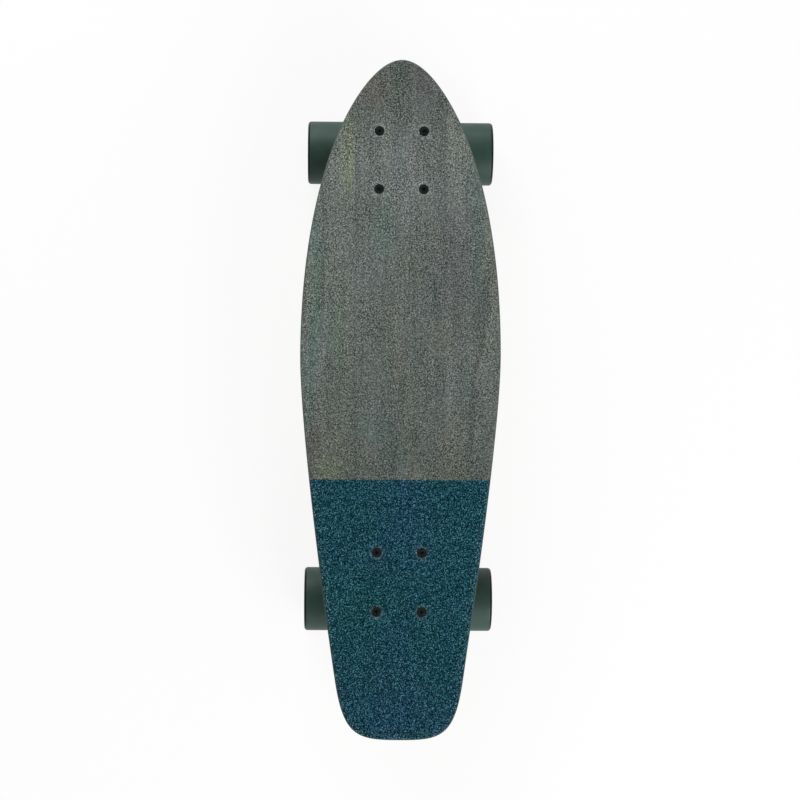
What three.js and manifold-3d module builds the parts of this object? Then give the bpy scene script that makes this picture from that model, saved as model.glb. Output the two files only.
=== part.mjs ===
// Cruiser skateboard: a pressed wooden deck on two sprung trucks and four urethane wheels.
// Millimetres, +Z up, nose at +Y, rider's left at -X. The origin is on the floor under the deck's middle.
import * as THREE from "three";
import { mergeVertices } from "three/addons/utils/BufferGeometryUtils.js";
import Module from "manifold-3d";

const wasm = await Module();
wasm.setup();

// Deck plan: lengths run along the board, and the outline is three Bezier stretches a side.
const noseLength = 92.6; // nose tip to the middle of the front bolt pattern
const truckSpacing = 389.1; // between the middles of the two bolt patterns
const tailLength = 140.6; // middle of the rear bolt pattern to the end of the tail
const deckWidth = 184.4;
const widestAhead = 38; // widest place, ahead of the deck's middle
const noseBluntness = 36.4; // sideways pull of the outline at the nose tip
const foreFullness = 178.8; // forward pull of the outline at the widest place
const aftFullness = 65.8; // rearward pull of the outline at the widest place
const shoulderWidth = 116; // across the tail where its corners begin
const shoulderAhead = 51; // that place, ahead of the tail's end
const shoulderTaper = THREE.MathUtils.degToRad(9.5); // how the side runs in there
const shoulderFullness = 60; // forward pull of the outline at the shoulder
const cornerFullness = 49.4; // rearward pull of the outline at the shoulder
const tailBluntness = 37; // sideways pull of the outline at the tail's end

// Deck pressing: a dish across, a kicked tail and a slightly lifted nose.
const deckThickness = 10;
const edgeRound = 3;
const dishRise = 5; // at the widest place
const flatBeside = 2.4; // flat strip left beside a truck
const noseLift = 8;
const noseLiftAhead = 2; // the lift begins this far ahead of the front truck's plate
const kickAngle = THREE.MathUtils.degToRad(20);
const kickRadius = 95;
const kickBehind = 4; // the kick begins this far behind the rear truck's plate
const noseCap = 60; // the surface's rings close on a point this far from the nose tip
const tailCap = 30; // and this far from the tail's end
const innerShare = 0.6; // of the way out, where a cap's inner ring lies

// Grip sheets.
const gripThickness = 1;
const glueLine = 0.05;
const colourLineBehind = 77; // where the two sheets meet, behind the deck's middle
const gripHoleClearance = 0.3;

// Deck bolts: countersunk, on the usual rectangular pattern.
const boltSpacingAcross = 41.28;
const boltSpacingAlong = 53.98;
const boltRadius = 2.4;
const boltClearance = 0.35;
const boltHeadRadius = 4.5;
const boltHeadRim = 0.5;
const boltNutWidth = 9.5;
const boltNutHeight = 5;
const boltTail = 2; // thread past the nut

// Riser pads and baseplates.
const riserThickness = 3;
const plateThickness = 5.5;
const plateEndMargin = 13; // plate past its bolt holes, lengthwise
const plateSideMargin = 7; // and sideways
const plateCorner = 7;
const plateWaist = 3.5; // how far each side draws in between the bolts
const bossFootAhead = -4.8; // kingpin's axis on the boss face, ahead of the bolt pattern's middle
const bossDepth = 15; // that place, below the mounting face
const bossRadius = 13.5;
const bossDraft = 1.5; // how much wider the boss is at its root
const pivotAhead = 27;
const pivotDepth = 11.5;
const pivotWall = 3.2;
const pivotEndWall = 2;
const spineWidth = 9;
const spineDepth = 3.5; // below the plate

// Kingpin line: everything stacked on the leaning kingpin.
const kingpinLean = THREE.MathUtils.degToRad(20);
const kingpinRadius = 4.75;
const kingpinHeadWidth = 14;
const kingpinHeadHeight = 5.5;
const headSink = 1.2; // head's highest corner, below the mounting face
const headPocketClearance = 0.4;
const bushingRadius = 12;
const bushingEndRadius = 11.2;
const bushingBevel = 2;
const boardBushingHeight = 13;
const roadBushingHeight = 9.5;
const roadBushingEndRadius = 8.6;
const bushingNeckRadius = 6.5;
const bushingNeckHeight = 2.6;
const washerThickness = 1.5;
const washerLip = 1.6;
const washerLipWall = 1.2;
const kingpinNutWidth = 14.3;
const kingpinNutHeight = 7;
const kingpinTail = 1.5;
const seatGap = 0.05; // between faces that seat on a slope
const shankGap = 0.3; // round the kingpin

// Pivot: a ball on the hanger in a plastic cup.
const pivotBallRadius = 4.8;
const pivotNeckRadius = 3.9;
const pivotRootRadius = 5.6;
const pivotGap = 0.3;
const cupWall = 1.6;
const cupMouth = 4; // cup's mouth, short of the ball's middle
const bossMouth = 5; // boss's mouth, short of the ball's middle

// Hanger: axle beam, yoke plate round the kingpin, horn up to the pivot and two ribs.
const truckHeight = 50; // mounting face to axle
const axleAhead = 17; // axle, outward of the bolt pattern's middle
const hangerWidth = 104;
const beamEndRadius = 9.5;
const beamMiddleRadius = 12.5;
const beamMiddleWidth = 30;
const beamCollar = 8; // straight stretch at each end
const yokeThickness = 10;
const yokeRadius = 17;
const yokeHoleRadius = 7;
const seatDepth = 1.5;
const seatClearance = 0.4;
const yokeSpread = 66; // across the yoke plate where it meets the beam
const yokeRound = 1;
const hornWidth = 12;
const hornRound = 1.5;
const hornAbove = 8; // horn's root, short of the ball's middle
const hornClearOfWasher = 3;
const ribThickness = 3.5;
const ribDepth = 7;
const ribSpacing = 22;

// Axle line.
const axleRadius = 4;
const axleFit = 0.05;
const axleTail = 1; // axle past its nut
const axleNutWidth = 13;
const axleNutHeight = 6.5;
const speedWasher = 1;
const spacerLength = 10;
const bearingRadius = 11;
const bearingWidth = 7;
const innerRaceRadius = 6;
const runningGap = 0.5;

// Wheels.
const wheelRadius = 30;
const wheelWidth = 45;
const lipRound = 3;
const faceRadius = 22;
const dishDepth = 5.5; // from the wheel's face in to the core
const coreRadius = 18;
const coreShoulderRadius = 9.6;
const coreMouthRadius = 15;

// Counts.
const roundSides = 20; // a multiple of four, so that a wheel rests on a flat at every quarter turn
const pinSides = 14; // the kingpin's line and the pivot
const axleSides = 12;
const boltSides = 8;
const noseSteps = 12;
const sideSteps = 6;
const cornerSteps = 7;
const edgeSteps = 2;
const lipSteps = 2;
const ballSteps = 3;
const curveSteps = 3;
const overrun = 1; // how far a cutter passes through a face

// Places that follow from the sizes.
const deckLength = noseLength + truckSpacing + tailLength;
const noseTip = deckLength / 2;
const tailEnd = -deckLength / 2;
const frontTruck = noseTip - noseLength;
const rearTruck = tailEnd + tailLength;
const axleHeight = wheelRadius * Math.cos(Math.PI / roundSides); // a flat of each wheel lies on the floor
const mountFace = axleHeight + truckHeight;
const deckUnderside = mountFace + riserThickness;
const deckTop = deckUnderside + deckThickness;
const gripUnderside = deckTop + glueLine;
const gripTop = gripUnderside + gripThickness;
const plateHalfLength = boltSpacingAlong / 2 + plateEndMargin;
const plateHalfWidth = boltSpacingAcross / 2 + plateSideMargin;
const flatHalf = plateHalfWidth + flatBeside;
const noseLiftStart = frontTruck + plateHalfLength + noseLiftAhead;
const kickStart = rearTruck - plateHalfLength - kickBehind;

// Truck places, in a truck's own frame: +Y outward from the board's middle, Z zero at the mounting face.
const up = new THREE.Vector3(0, 1, 0);
const across = new THREE.Vector3(1, 0, 0);
const kingpinUp = new THREE.Vector3(0, Math.sin(kingpinLean), Math.cos(kingpinLean));
const yokeOut = new THREE.Vector3(0, Math.cos(kingpinLean), -Math.sin(kingpinLean));
const bossFoot = new THREE.Vector3(0, bossFootAhead, -bossDepth);
const seatHalf = yokeThickness / 2 - seatDepth;
const boardStack = seatHalf + boardBushingHeight + washerThickness + 3 * seatGap;
const yokeMiddle = bossFoot.clone().addScaledVector(kingpinUp, -boardStack);
const pivotBall = new THREE.Vector3(0, pivotAhead, -pivotDepth);
const steerOut = pivotBall.clone().sub(yokeMiddle).normalize(); // steering axis, from the yoke to the ball
const axleMiddle = new THREE.Vector3(0, axleAhead, -truckHeight);

const hexCorner = (width) => width / Math.sqrt(3);

// A closed geometry as a solid, and a solid back as a geometry.
function solid(geometry) {
  const bare = geometry.clone();
  bare.deleteAttribute("normal");
  bare.deleteAttribute("uv");
  const merged = mergeVertices(bare);
  const vertProperties = merged.attributes.position.array;
  return new wasm.Manifold(
    new wasm.Mesh({ numProp: 3, vertProperties, triVerts: new Uint32Array(merged.index.array) }),
  );
}

function geometryOf(body) {
  const { vertProperties, triVerts } = body.getMesh();
  return new THREE.BufferGeometry()
    .setAttribute("position", new THREE.BufferAttribute(vertProperties, 3))
    .setIndex(new THREE.BufferAttribute(triVerts, 1));
}

const join = (...geometries) =>
  geometryOf(geometries.map(solid).reduce((body, next) => body.add(next)));
const cut = (geometry, ...cutters) =>
  geometryOf(cutters.map(solid).reduce((body, next) => body.subtract(next), solid(geometry)));
const common = (geometry, other) => geometryOf(solid(geometry).intersect(solid(other)));

// A turned piece: its profile lists [radius, height] pairs and runs up the outside and down the inside.
function turned(profile, sides = roundSides) {
  const points = profile.map(([radius, height]) => new THREE.Vector2(radius, height));
  const halfSide = Math.PI / sides;
  return new THREE.LatheGeometry(points, sides, halfSide);
}

// A ring or tube closes its profile on itself, and a rod closes it on the axis.
const ring = (profile, sides) => turned([...profile, profile[0]], sides);
const rod = (radius, from, to, sides) =>
  turned([[0, from], [radius, from], [radius, to], [0, to]], sides);

// Moves a turned piece so that its axis starts at a point and runs in a direction.
function aimed(geometry, origin, direction) {
  const turn = new THREE.Quaternion().setFromUnitVectors(up, direction);
  return geometry.applyQuaternion(turn).translate(origin.x, origin.y, origin.z);
}

// A flat outline given a thickness, from one height to another.
function slab(shape, from, to, bevel = 0) {
  const depth = to - from - 2 * bevel;
  const options = { depth, curveSegments: curveSteps, bevelEnabled: bevel > 0 };
  Object.assign(options, { bevelThickness: bevel, bevelSize: bevel, bevelOffset: -bevel });
  return new THREE.ExtrudeGeometry(shape, { ...options, bevelSegments: 1 }).translate(0, 0, from + bevel);
}

function hexagon(width) {
  const corner = hexCorner(width);
  const points = [];
  for (let side = 0; side < 6; side++) {
    const angle = (side * Math.PI) / 3;
    points.push(new THREE.Vector2(corner * Math.cos(angle), corner * Math.sin(angle)));
  }
  return new THREE.Shape(points);
}

// A hexagonal prism on a lathe's own axis, with an optional bore.
function hexPrism(width, from, to, boreRadius, sides) {
  const prism = slab(hexagon(width), from, to).rotateX(-Math.PI / 2);
  return boreRadius > 0 ? cut(prism, rod(boreRadius, from - overrun, to + overrun, sides)) : prism;
}

function material(colour, roughness, metalness) {
  return new THREE.MeshStandardMaterial({ color: colour, roughness, metalness });
}

function piece(name, geometry, finish) {
  const mesh = new THREE.Mesh(geometry, finish);
  mesh.name = name;
  return mesh;
}

const finishes = {
  wood: material(0x6d5b45, 0.6, 0),
  greyGrip: material(0x60655f, 0.9, 0),
  blueGrip: material(0x1f444f, 0.9, 0),
  blackSteel: material(0x1c1e1e, 0.45, 0.8),
  steel: material(0xb9bdc0, 0.3, 1),
  castAluminium: material(0xa3a7a9, 0.42, 1),
  riser: material(0x202324, 0.8, 0),
  bushing: material(0x3f6f78, 0.5, 0),
  cup: material(0x17191a, 0.6, 0),
  urethane: material(0x384943, 0.5, 0),
  core: material(0x1d2423, 0.45, 0),
  shield: material(0x2a2d2f, 0.4, 0.6),
};

// The bolt pattern's four places, nose end first and left to right.
function boltPlaces() {
  const places = [];
  for (const ahead of [boltSpacingAlong / 2, -boltSpacingAlong / 2]) {
    for (const side of [-boltSpacingAcross / 2, boltSpacingAcross / 2]) {
      places.push(new THREE.Vector3(side, ahead, 0));
    }
  }
  return places;
}

const boltAxes = [frontTruck, rearTruck].flatMap((truckAhead) =>
  boltPlaces().map((place) => place.setY(place.y + truckAhead)),
);

// Upright cutters through the deck or the grip, one at each bolt.
const boltCutters = (profile) =>
  boltAxes.map((place) => aimed(turned(profile, boltSides), place, new THREE.Vector3(0, 0, 1)));

// One side of the deck's outline, from the nose tip round to the tail's end, with its outward normals.
function outlineSide() {
  const halfWidth = deckWidth / 2;
  const shoulder = new THREE.Vector2(shoulderWidth / 2, tailEnd + shoulderAhead);
  const aft = new THREE.Vector2(-Math.sin(shoulderTaper), -Math.cos(shoulderTaper));
  const nose = new THREE.CubicBezierCurve(
    new THREE.Vector2(0, noseTip),
    new THREE.Vector2(noseBluntness, noseTip),
    new THREE.Vector2(halfWidth, widestAhead + foreFullness),
    new THREE.Vector2(halfWidth, widestAhead),
  );
  const side = new THREE.CubicBezierCurve(
    nose.v3,
    new THREE.Vector2(halfWidth, widestAhead - aftFullness),
    shoulder.clone().addScaledVector(aft, -shoulderFullness),
    shoulder,
  );
  const corner = new THREE.CubicBezierCurve(
    shoulder,
    shoulder.clone().addScaledVector(aft, cornerFullness),
    new THREE.Vector2(tailBluntness, tailEnd),
    new THREE.Vector2(0, tailEnd),
  );
  const stations = [];
  for (const [curve, steps] of [[nose, noseSteps], [side, sideSteps], [corner, cornerSteps]]) {
    for (let step = 0; step < steps; step++) {
      const along = curve.getTangent(step / steps);
      stations.push({ at: curve.getPoint(step / steps), out: new THREE.Vector2(-along.y, along.x) });
    }
  }
  stations.push({ at: corner.v3, out: new THREE.Vector2(0, -1) });
  return stations;
}

// The whole outline, right side down and left side back up.
function outline() {
  const right = outlineSide();
  const left = right
    .slice(1, -1)
    .reverse()
    .map(({ at, out }) => ({
      at: new THREE.Vector2(-at.x, at.y),
      out: new THREE.Vector2(-out.x, out.y),
    }));
  return [...right, ...left];
}

// How far the pressing lifts a point of the deck above its flat strip.
function lift(x, y) {
  const aside = Math.max(0, Math.abs(x) - flatHalf) / (deckWidth / 2 - flatHalf);
  const dish = dishRise * aside * aside;
  if (y > noseLiftStart) {
    const share = (y - noseLiftStart) / (noseTip - noseLiftStart);
    return dish + noseLift * share * share;
  }
  const behind = kickStart - y;
  const bend = kickRadius * Math.sin(kickAngle);
  if (behind <= 0) return dish;
  if (behind < bend) return dish + kickRadius - Math.sqrt(kickRadius ** 2 - behind ** 2);
  return dish + kickRadius * (1 - Math.cos(kickAngle)) + (behind - bend) * Math.tan(kickAngle);
}

// A loop round the deck, inset from its outline or drawn in to a share of the way from the spine.
function deckLoop(inset, height, share = 1) {
  return outline().map(({ at, out }) => {
    const spineY = THREE.MathUtils.clamp(at.y, tailEnd + tailCap, noseTip - noseCap);
    const edge = at.clone().addScaledVector(out, -inset);
    const inner = Math.min(innerShare, flatHalf / Math.max(Math.abs(edge.x), Number.EPSILON));
    const along = share === 1 ? 1 : inner * share.inner + share.outer;
    const x = edge.x * along;
    const y = spineY + (edge.y - spineY) * along;
    return new THREE.Vector3(x, y, height + lift(x, y));
  });
}

// The loops that cover one face of the deck, from its edge in to its spine.
const faceLoops = (inset, height) => [
  deckLoop(inset, height),
  deckLoop(inset, height, { inner: 1 / 2, outer: 1 / 2 }),
  deckLoop(inset, height, { inner: 1, outer: 0 }),
  deckLoop(inset, height, { inner: 0, outer: 0 }),
];

// A closed surface through loops of equal counts, the first and last drawn in to a line. Its lower half is
// split into facets as its upper half is, so that one sheet lies on another facet to facet.
function skin(loops) {
  const points = loops.flat();
  const count = loops[0].length;
  const index = [];
  for (let row = 0; row + 1 < loops.length; row++) {
    for (let step = 0; step < count; step++) {
      const next = (step + 1) % count;
      const [a, b] = [row * count + step, row * count + next];
      if (row < loops.length / 2) index.push(a, b, a + count, b, b + count, a + count);
      else index.push(a, b, b + count, a, b + count, a + count);
    }
  }
  const geometry = new THREE.BufferGeometry().setFromPoints(points).setIndex(index);
  return mergeVertices(geometry);
}

function deckBody() {
  const edge = [];
  for (let step = 1; step <= edgeSteps; step++) {
    const angle = (step / edgeSteps) * (Math.PI / 2);
    const inset = edgeRound * (1 - Math.sin(angle));
    edge.push([inset, edgeRound * (1 - Math.cos(angle))]);
  }
  const top = edge.map(([inset, drop]) => deckLoop(inset, deckTop - drop));
  const bottom = edge.map(([inset, rise]) => deckLoop(inset, deckUnderside + rise)).reverse();
  const upper = faceLoops(edgeRound, deckTop).reverse();
  return skin([...upper, ...top, ...bottom, ...faceLoops(edgeRound, deckUnderside)]);
}

// Countersunk holes: a clearance bore with a cone that holds the head.
function deck() {
  const bore = boltRadius + boltClearance;
  const head = boltHeadRadius + boltClearance;
  const rim = gripTop - boltHeadRim;
  const cone = [[0, deckUnderside - overrun], [bore, deckUnderside - overrun]];
  cone.push([bore, rim - (head - bore)], [head, rim], [head, gripTop + overrun], [0, gripTop + overrun]);
  return piece("deck", cut(deckBody(), ...boltCutters(cone)), finishes.wood);
}

function gripSheets() {
  const below = faceLoops(edgeRound, gripUnderside);
  const above = faceLoops(edgeRound, gripTop).reverse();
  const hole = boltHeadRadius + gripHoleClearance;
  const bore = [[0, deckTop - overrun], [hole, deckTop - overrun]];
  bore.push([hole, gripTop + overrun], [0, gripTop + overrun]);
  const sheet = cut(skin([...above, ...below]), ...boltCutters(bore));
  const half = (from, to) =>
    common(
      sheet,
      new THREE.BoxGeometry(deckWidth, to - from, deckLength).translate(0, (from + to) / 2, deckTop),
    );
  return [
    piece("grip_front", half(-colourLineBehind, noseTip), finishes.greyGrip),
    piece("grip_rear", half(tailEnd, -colourLineBehind), finishes.blueGrip),
  ];
}

// A bolt with its nut run up under the baseplate.
function deckBolts() {
  const nutTop = mountFace - plateThickness;
  const tail = nutTop - boltNutHeight - boltTail;
  const rim = gripTop - boltHeadRim;
  const profile = [[0, tail], [boltRadius, tail], [boltRadius, rim - (boltHeadRadius - boltRadius)]];
  profile.push([boltHeadRadius, rim], [boltHeadRadius, gripTop], [0, gripTop]);
  const upright = new THREE.Vector3(0, 0, 1);
  return boltAxes.map((place, index) => {
    const shank = aimed(turned(profile, boltSides), place, upright);
    const nut = slab(hexagon(boltNutWidth), nutTop - boltNutHeight, nutTop).translate(place.x, place.y, 0);
    const end = index < boltAxes.length / 2 ? "front" : "rear";
    const number = (index % (boltAxes.length / 2)) + 1;
    return piece(`${end}_deck_bolt_${number}`, join(shank, nut), finishes.blackSteel);
  });
}

// The plan of a baseplate: rounded corners, and sides drawn in between the bolts.
function platePlan(waist) {
  const [x, y, r] = [plateHalfWidth, plateHalfLength, plateCorner];
  const shape = new THREE.Shape();
  shape.absarc(x - r, y - r, r, 0, Math.PI / 2, false);
  shape.absarc(-x + r, y - r, r, Math.PI / 2, Math.PI, false);
  if (waist > 0) shape.quadraticCurveTo(-x + 2 * waist, 0, -x, -y + r);
  shape.absarc(-x + r, -y + r, r, Math.PI, 1.5 * Math.PI, false);
  shape.absarc(x - r, -y + r, r, 1.5 * Math.PI, 2 * Math.PI, false);
  if (waist > 0) shape.quadraticCurveTo(x - 2 * waist, 0, x, y - r);
  return shape;
}

function drilled(shape) {
  for (const place of boltPlaces()) {
    const points = [];
    for (let side = boltSides; side > 0; side--) {
      const spoke = new THREE.Vector2(boltRadius + boltClearance, 0);
      points.push(spoke.rotateAround(new THREE.Vector2(), (side / boltSides) * 2 * Math.PI).add(place));
    }
    shape.holes.push(new THREE.Path(points));
  }
  return shape;
}

const riserPad = (name) => piece(name, slab(drilled(platePlan(0)), 0, riserThickness), finishes.riser);

// Distances along the kingpin, measured up from the boss face, that place its head.
const headRise = hexCorner(kingpinHeadWidth) * Math.sin(kingpinLean);
const headTop = (bossDepth - headSink - headRise) / Math.cos(kingpinLean);
const headSeat = headTop - kingpinHeadHeight;
const farUp = (bossDepth + bossRadius) / Math.cos(kingpinLean); // past the mounting face

// The pivot's pocket, along the steering axis from the ball's middle.
const pocketRadius = pivotBallRadius + pivotGap + cupWall + pivotGap;

function baseplate(name) {
  const plate = slab(drilled(platePlan(plateWaist)), -plateThickness, 0);
  const boss = [[0, 0], [bossRadius, 0], [bossRadius + bossDraft, farUp], [0, farUp]];
  const kingpinBoss = aimed(turned(boss, pinSides), bossFoot, kingpinUp);
  const pivotBarrel = rod(pocketRadius + pivotWall, -bossMouth, pocketRadius + pivotEndWall, pinSides);
  const pivotBoss = aimed(pivotBarrel, pivotBall, steerOut);
  const spineLength = pivotAhead - bossFootAhead;
  const spine = new THREE.BoxGeometry(spineWidth, spineLength, plateThickness + spineDepth);
  spine.translate(0, bossFootAhead + spineLength / 2, -(plateThickness + spineDepth) / 2);
  const above = new THREE.BoxGeometry(deckWidth, deckWidth, deckWidth).translate(0, 0, deckWidth / 2);
  const shankHole = aimed(rod(kingpinRadius + seatGap, -overrun, farUp, axleSides), bossFoot, kingpinUp);
  const pocketWall = hexCorner(kingpinHeadWidth) + headPocketClearance;
  const headPocket = aimed(rod(pocketWall, headSeat - seatGap, farUp, pinSides), bossFoot, kingpinUp);
  const mouth = -bossMouth - overrun;
  const cupPocket = aimed(rod(pocketRadius, mouth, pocketRadius, pinSides), pivotBall, steerOut);
  const body = join(plate, kingpinBoss, pivotBoss, spine);
  return piece(name, cut(body, above, shankHole, headPocket, cupPocket), finishes.castAluminium);
}

// The plastic cup that the pivot ball turns in.
function pivotCup(name) {
  const inside = pivotBallRadius + pivotGap;
  const outside = inside + cupWall;
  const profile = [[0, inside]];
  for (let step = 1; step <= ballSteps; step++) {
    const angle = (step / ballSteps) * (Math.PI / 2);
    profile.push([inside * Math.sin(angle), inside * Math.cos(angle)]);
  }
  profile.push([inside, -cupMouth], [outside, -cupMouth], [outside, outside], [0, outside]);
  return piece(name, aimed(turned(profile, pinSides), pivotBall, steerOut), finishes.cup);
}

// Heights along the kingpin, up from the yoke's middle.
const boardSeat = seatHalf + seatGap;
const boardWasher = boardSeat + boardBushingHeight + seatGap;
const bossFace = boardStack;
const roadSeat = -seatHalf - seatGap;
const roadWasher = roadSeat - roadBushingHeight - seatGap;
const nutFace = roadWasher - washerThickness - seatGap;
const bushingBore = kingpinRadius + shankGap;

function kingpin(name) {
  const tail = nutFace - kingpinNutHeight - kingpinTail;
  const shank = rod(kingpinRadius, tail, bossFace + headTop, axleSides);
  const head = hexPrism(kingpinHeadWidth, bossFace + headSeat, bossFace + headTop, 0);
  return piece(name, join(shank, head), finishes.steel);
}

// Rubber springs: a barrel on the board side and a cone on the road side, each with a neck in the yoke.
function boardBushing(name) {
  const top = boardSeat + boardBushingHeight;
  const neckEnd = boardSeat - bushingNeckHeight;
  const profile = [[bushingBore, neckEnd], [bushingNeckRadius, neckEnd], [bushingNeckRadius, boardSeat]];
  profile.push([bushingEndRadius, boardSeat], [bushingRadius, boardSeat + bushingBevel]);
  profile.push([bushingRadius, top - bushingBevel], [bushingEndRadius, top], [bushingBore, top]);
  return piece(name, ring(profile, pinSides), finishes.bushing);
}

function roadBushing(name) {
  const bottom = roadSeat - roadBushingHeight;
  const neckEnd = roadSeat + bushingNeckHeight;
  const profile = [[bushingBore, bottom], [roadBushingEndRadius, bottom]];
  profile.push([bushingRadius, roadSeat - bushingBevel], [bushingEndRadius, roadSeat]);
  profile.push([bushingNeckRadius, roadSeat], [bushingNeckRadius, neckEnd], [bushingBore, neckEnd]);
  return piece(name, ring(profile, pinSides), finishes.bushing);
}

// A cupped washer whose lip turns back round the bushing's end, which widens away from it over some height.
function cuppedWasher(endRadius, widening, from, lipTowards) {
  const held = Math.min(washerLip / widening, 1);
  const inside = endRadius + (bushingRadius - endRadius) * held + shankGap;
  const outside = inside + washerLipWall;
  const to = from + washerThickness;
  if (lipTowards > 0) {
    const [lipEnd, profile] = [to + washerLip, [[bushingBore, from], [outside, from]]];
    profile.push([outside, lipEnd], [inside, lipEnd], [inside, to], [bushingBore, to]);
    return ring(profile, pinSides);
  }
  const [lipEnd, profile] = [from - washerLip, [[bushingBore, from], [inside, from]]];
  profile.push([inside, lipEnd], [outside, lipEnd], [outside, to], [bushingBore, to]);
  return ring(profile, pinSides);
}

function kingpinNut(name) {
  const bore = kingpinRadius + seatGap;
  const prism = hexPrism(kingpinNutWidth, nutFace - kingpinNutHeight, nutFace, bore, axleSides);
  return piece(name, prism, finishes.blackSteel);
}

// A yoke-frame outline lies in the plane square to the kingpin: x across, y outward, z up the kingpin.
function inYokeFrame(geometry) {
  const basis = new THREE.Matrix4().makeBasis(across, yokeOut, kingpinUp).setPosition(yokeMiddle);
  return geometry.applyMatrix4(basis);
}

const inYoke = (point) => {
  const away = point.clone().sub(yokeMiddle);
  return new THREE.Vector2(away.dot(yokeOut), away.dot(kingpinUp));
};
const axleInYoke = inYoke(axleMiddle);
const ballInYoke = inYoke(pivotBall);

function axleBeam() {
  const half = hangerWidth / 2;
  const middle = beamMiddleWidth / 2;
  const taper = half - beamCollar;
  const profile = [[0, -half], [beamEndRadius, -half], [beamEndRadius, -taper], [beamMiddleRadius, -middle]];
  profile.push([beamMiddleRadius, middle], [beamEndRadius, taper], [beamEndRadius, half], [0, half]);
  return aimed(turned(profile), axleMiddle, across);
}

// The plate that rings the kingpin and spreads out to the axle beam.
function yokePlate() {
  const [spread, reach] = [yokeSpread / 2, axleInYoke.x];
  const shape = new THREE.Shape();
  shape.absarc(0, 0, yokeRadius, Math.PI, 2 * Math.PI, false);
  shape.bezierCurveTo(yokeRadius, reach / 2, spread - yokeRadius / 2, reach / 2, spread, reach);
  shape.lineTo(-spread, reach);
  shape.bezierCurveTo(yokeRadius / 2 - spread, reach / 2, -yokeRadius, reach / 2, -yokeRadius, 0);
  return inYokeFrame(slab(shape, -yokeThickness / 2, yokeThickness / 2, yokeRound));
}

// A web in the truck's middle plane: its outline is [outward, up the kingpin] in the yoke's frame.
function web(points, width, bevel) {
  const shape = new THREE.Shape(points);
  const flat = slab(shape, -width / 2, width / 2, bevel);
  const basis = new THREE.Matrix4().makeBasis(yokeOut, kingpinUp, across).setPosition(yokeMiddle);
  return flat.applyMatrix4(basis);
}

// The horn climbs from the beam and the plate, past the board-side bushing, to the pivot's stem.
function horn() {
  const axis = ballInYoke.clone().normalize();
  const aside = new THREE.Vector2(-axis.y, axis.x).multiplyScalar(pivotRootRadius);
  const root = ballInYoke.clone().addScaledVector(axis, -hornAbove);
  const inner = bushingRadius + shankGap + washerLipWall + hornClearOfWasher;
  const [near, far] = [root.clone().add(aside), root.clone().sub(aside)];
  const points = [near, new THREE.Vector2(inner, boardWasher - washerLip)];
  points.push(new THREE.Vector2(inner, 0), new THREE.Vector2(axleInYoke.x, axleInYoke.y));
  points.push(new THREE.Vector2(axleInYoke.x + beamMiddleRadius / 2, axleInYoke.y + beamMiddleRadius / 2));
  points.push(new THREE.Vector2((far.x + axleInYoke.x) / 2, (far.y + axleInYoke.y) / 2 + hornAbove / 2), far);
  return web(points, hornWidth, hornRound);
}

// The stem grows from a round elbow at the horn's root, narrows to a neck and ends in the ball.
function pivotStem() {
  const profile = [];
  for (let step = 0; step <= ballSteps; step++) {
    const angle = (step / ballSteps) * (Math.PI / 2);
    profile.push([pivotRootRadius * Math.sin(angle), -hornAbove - pivotRootRadius * Math.cos(angle)]);
  }
  const neck = Math.sqrt(pivotBallRadius ** 2 - pivotNeckRadius ** 2);
  profile.push([pivotNeckRadius, -neck]);
  for (let step = 0; step < ballSteps; step++) {
    const angle = (step / ballSteps) * (Math.PI / 2);
    profile.push([pivotBallRadius * Math.cos(angle), pivotBallRadius * Math.sin(angle)]);
  }
  profile.push([0, pivotBallRadius]);
  return aimed(turned(profile, pinSides), pivotBall, steerOut);
}

function ribs() {
  const inner = roadBushingEndRadius + washerLipWall + hornClearOfWasher;
  return [-ribSpacing / 2, ribSpacing / 2].map((side) => {
    const points = [new THREE.Vector2(inner, 0), new THREE.Vector2(inner, -yokeThickness / 2)];
    points.push(new THREE.Vector2(axleInYoke.x - ribDepth, -yokeThickness / 2 - ribDepth));
    points.push(new THREE.Vector2(axleInYoke.x, axleInYoke.y), new THREE.Vector2(axleInYoke.x, 0));
    return web(points, ribThickness, 0).translate(side, 0, 0);
  });
}

function hanger(name) {
  const body = join(axleBeam(), yokePlate(), horn(), pivotStem(), ...ribs());
  const half = hangerWidth / 2 + overrun;
  const axleBore = aimed(rod(axleRadius + axleFit, -half, half, axleSides), axleMiddle, across);
  const onKingpin = (radius, from, to) => aimed(rod(radius, from, to, pinSides), yokeMiddle, kingpinUp);
  const pinHole = onKingpin(yokeHoleRadius, -yokeThickness, yokeThickness);
  const seatRadius = bushingRadius + seatClearance;
  const boardSeatCut = onKingpin(seatRadius, seatHalf, yokeThickness);
  const roadSeatCut = onKingpin(seatRadius, -yokeThickness, -seatHalf);
  return piece(name, cut(body, axleBore, pinHole, boardSeatCut, roadSeatCut), finishes.castAluminium);
}

// Distances along the axle, out from the hanger's middle.
const sleeveStart = hangerWidth / 2;
const sleeveLength = 2 * speedWasher + 2 * bearingWidth + spacerLength;
const axleNutFace = sleeveStart + sleeveLength;
const axleEnd = axleNutFace + axleNutHeight + axleTail;
const wheelMiddle = sleeveStart + sleeveLength / 2;

function axle(name) {
  const bar = rod(axleRadius, -axleEnd, axleEnd, axleSides);
  return piece(name, aimed(bar, axleMiddle, across), finishes.steel);
}

function axleNut(name, side) {
  const bore = axleRadius + axleFit;
  const nut = hexPrism(axleNutWidth, axleNutFace, axleNutFace + axleNutHeight, bore, axleSides);
  const outward = new THREE.Vector3(side, 0, 0);
  return piece(name, aimed(nut, axleMiddle, outward), finishes.blackSteel);
}

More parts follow.
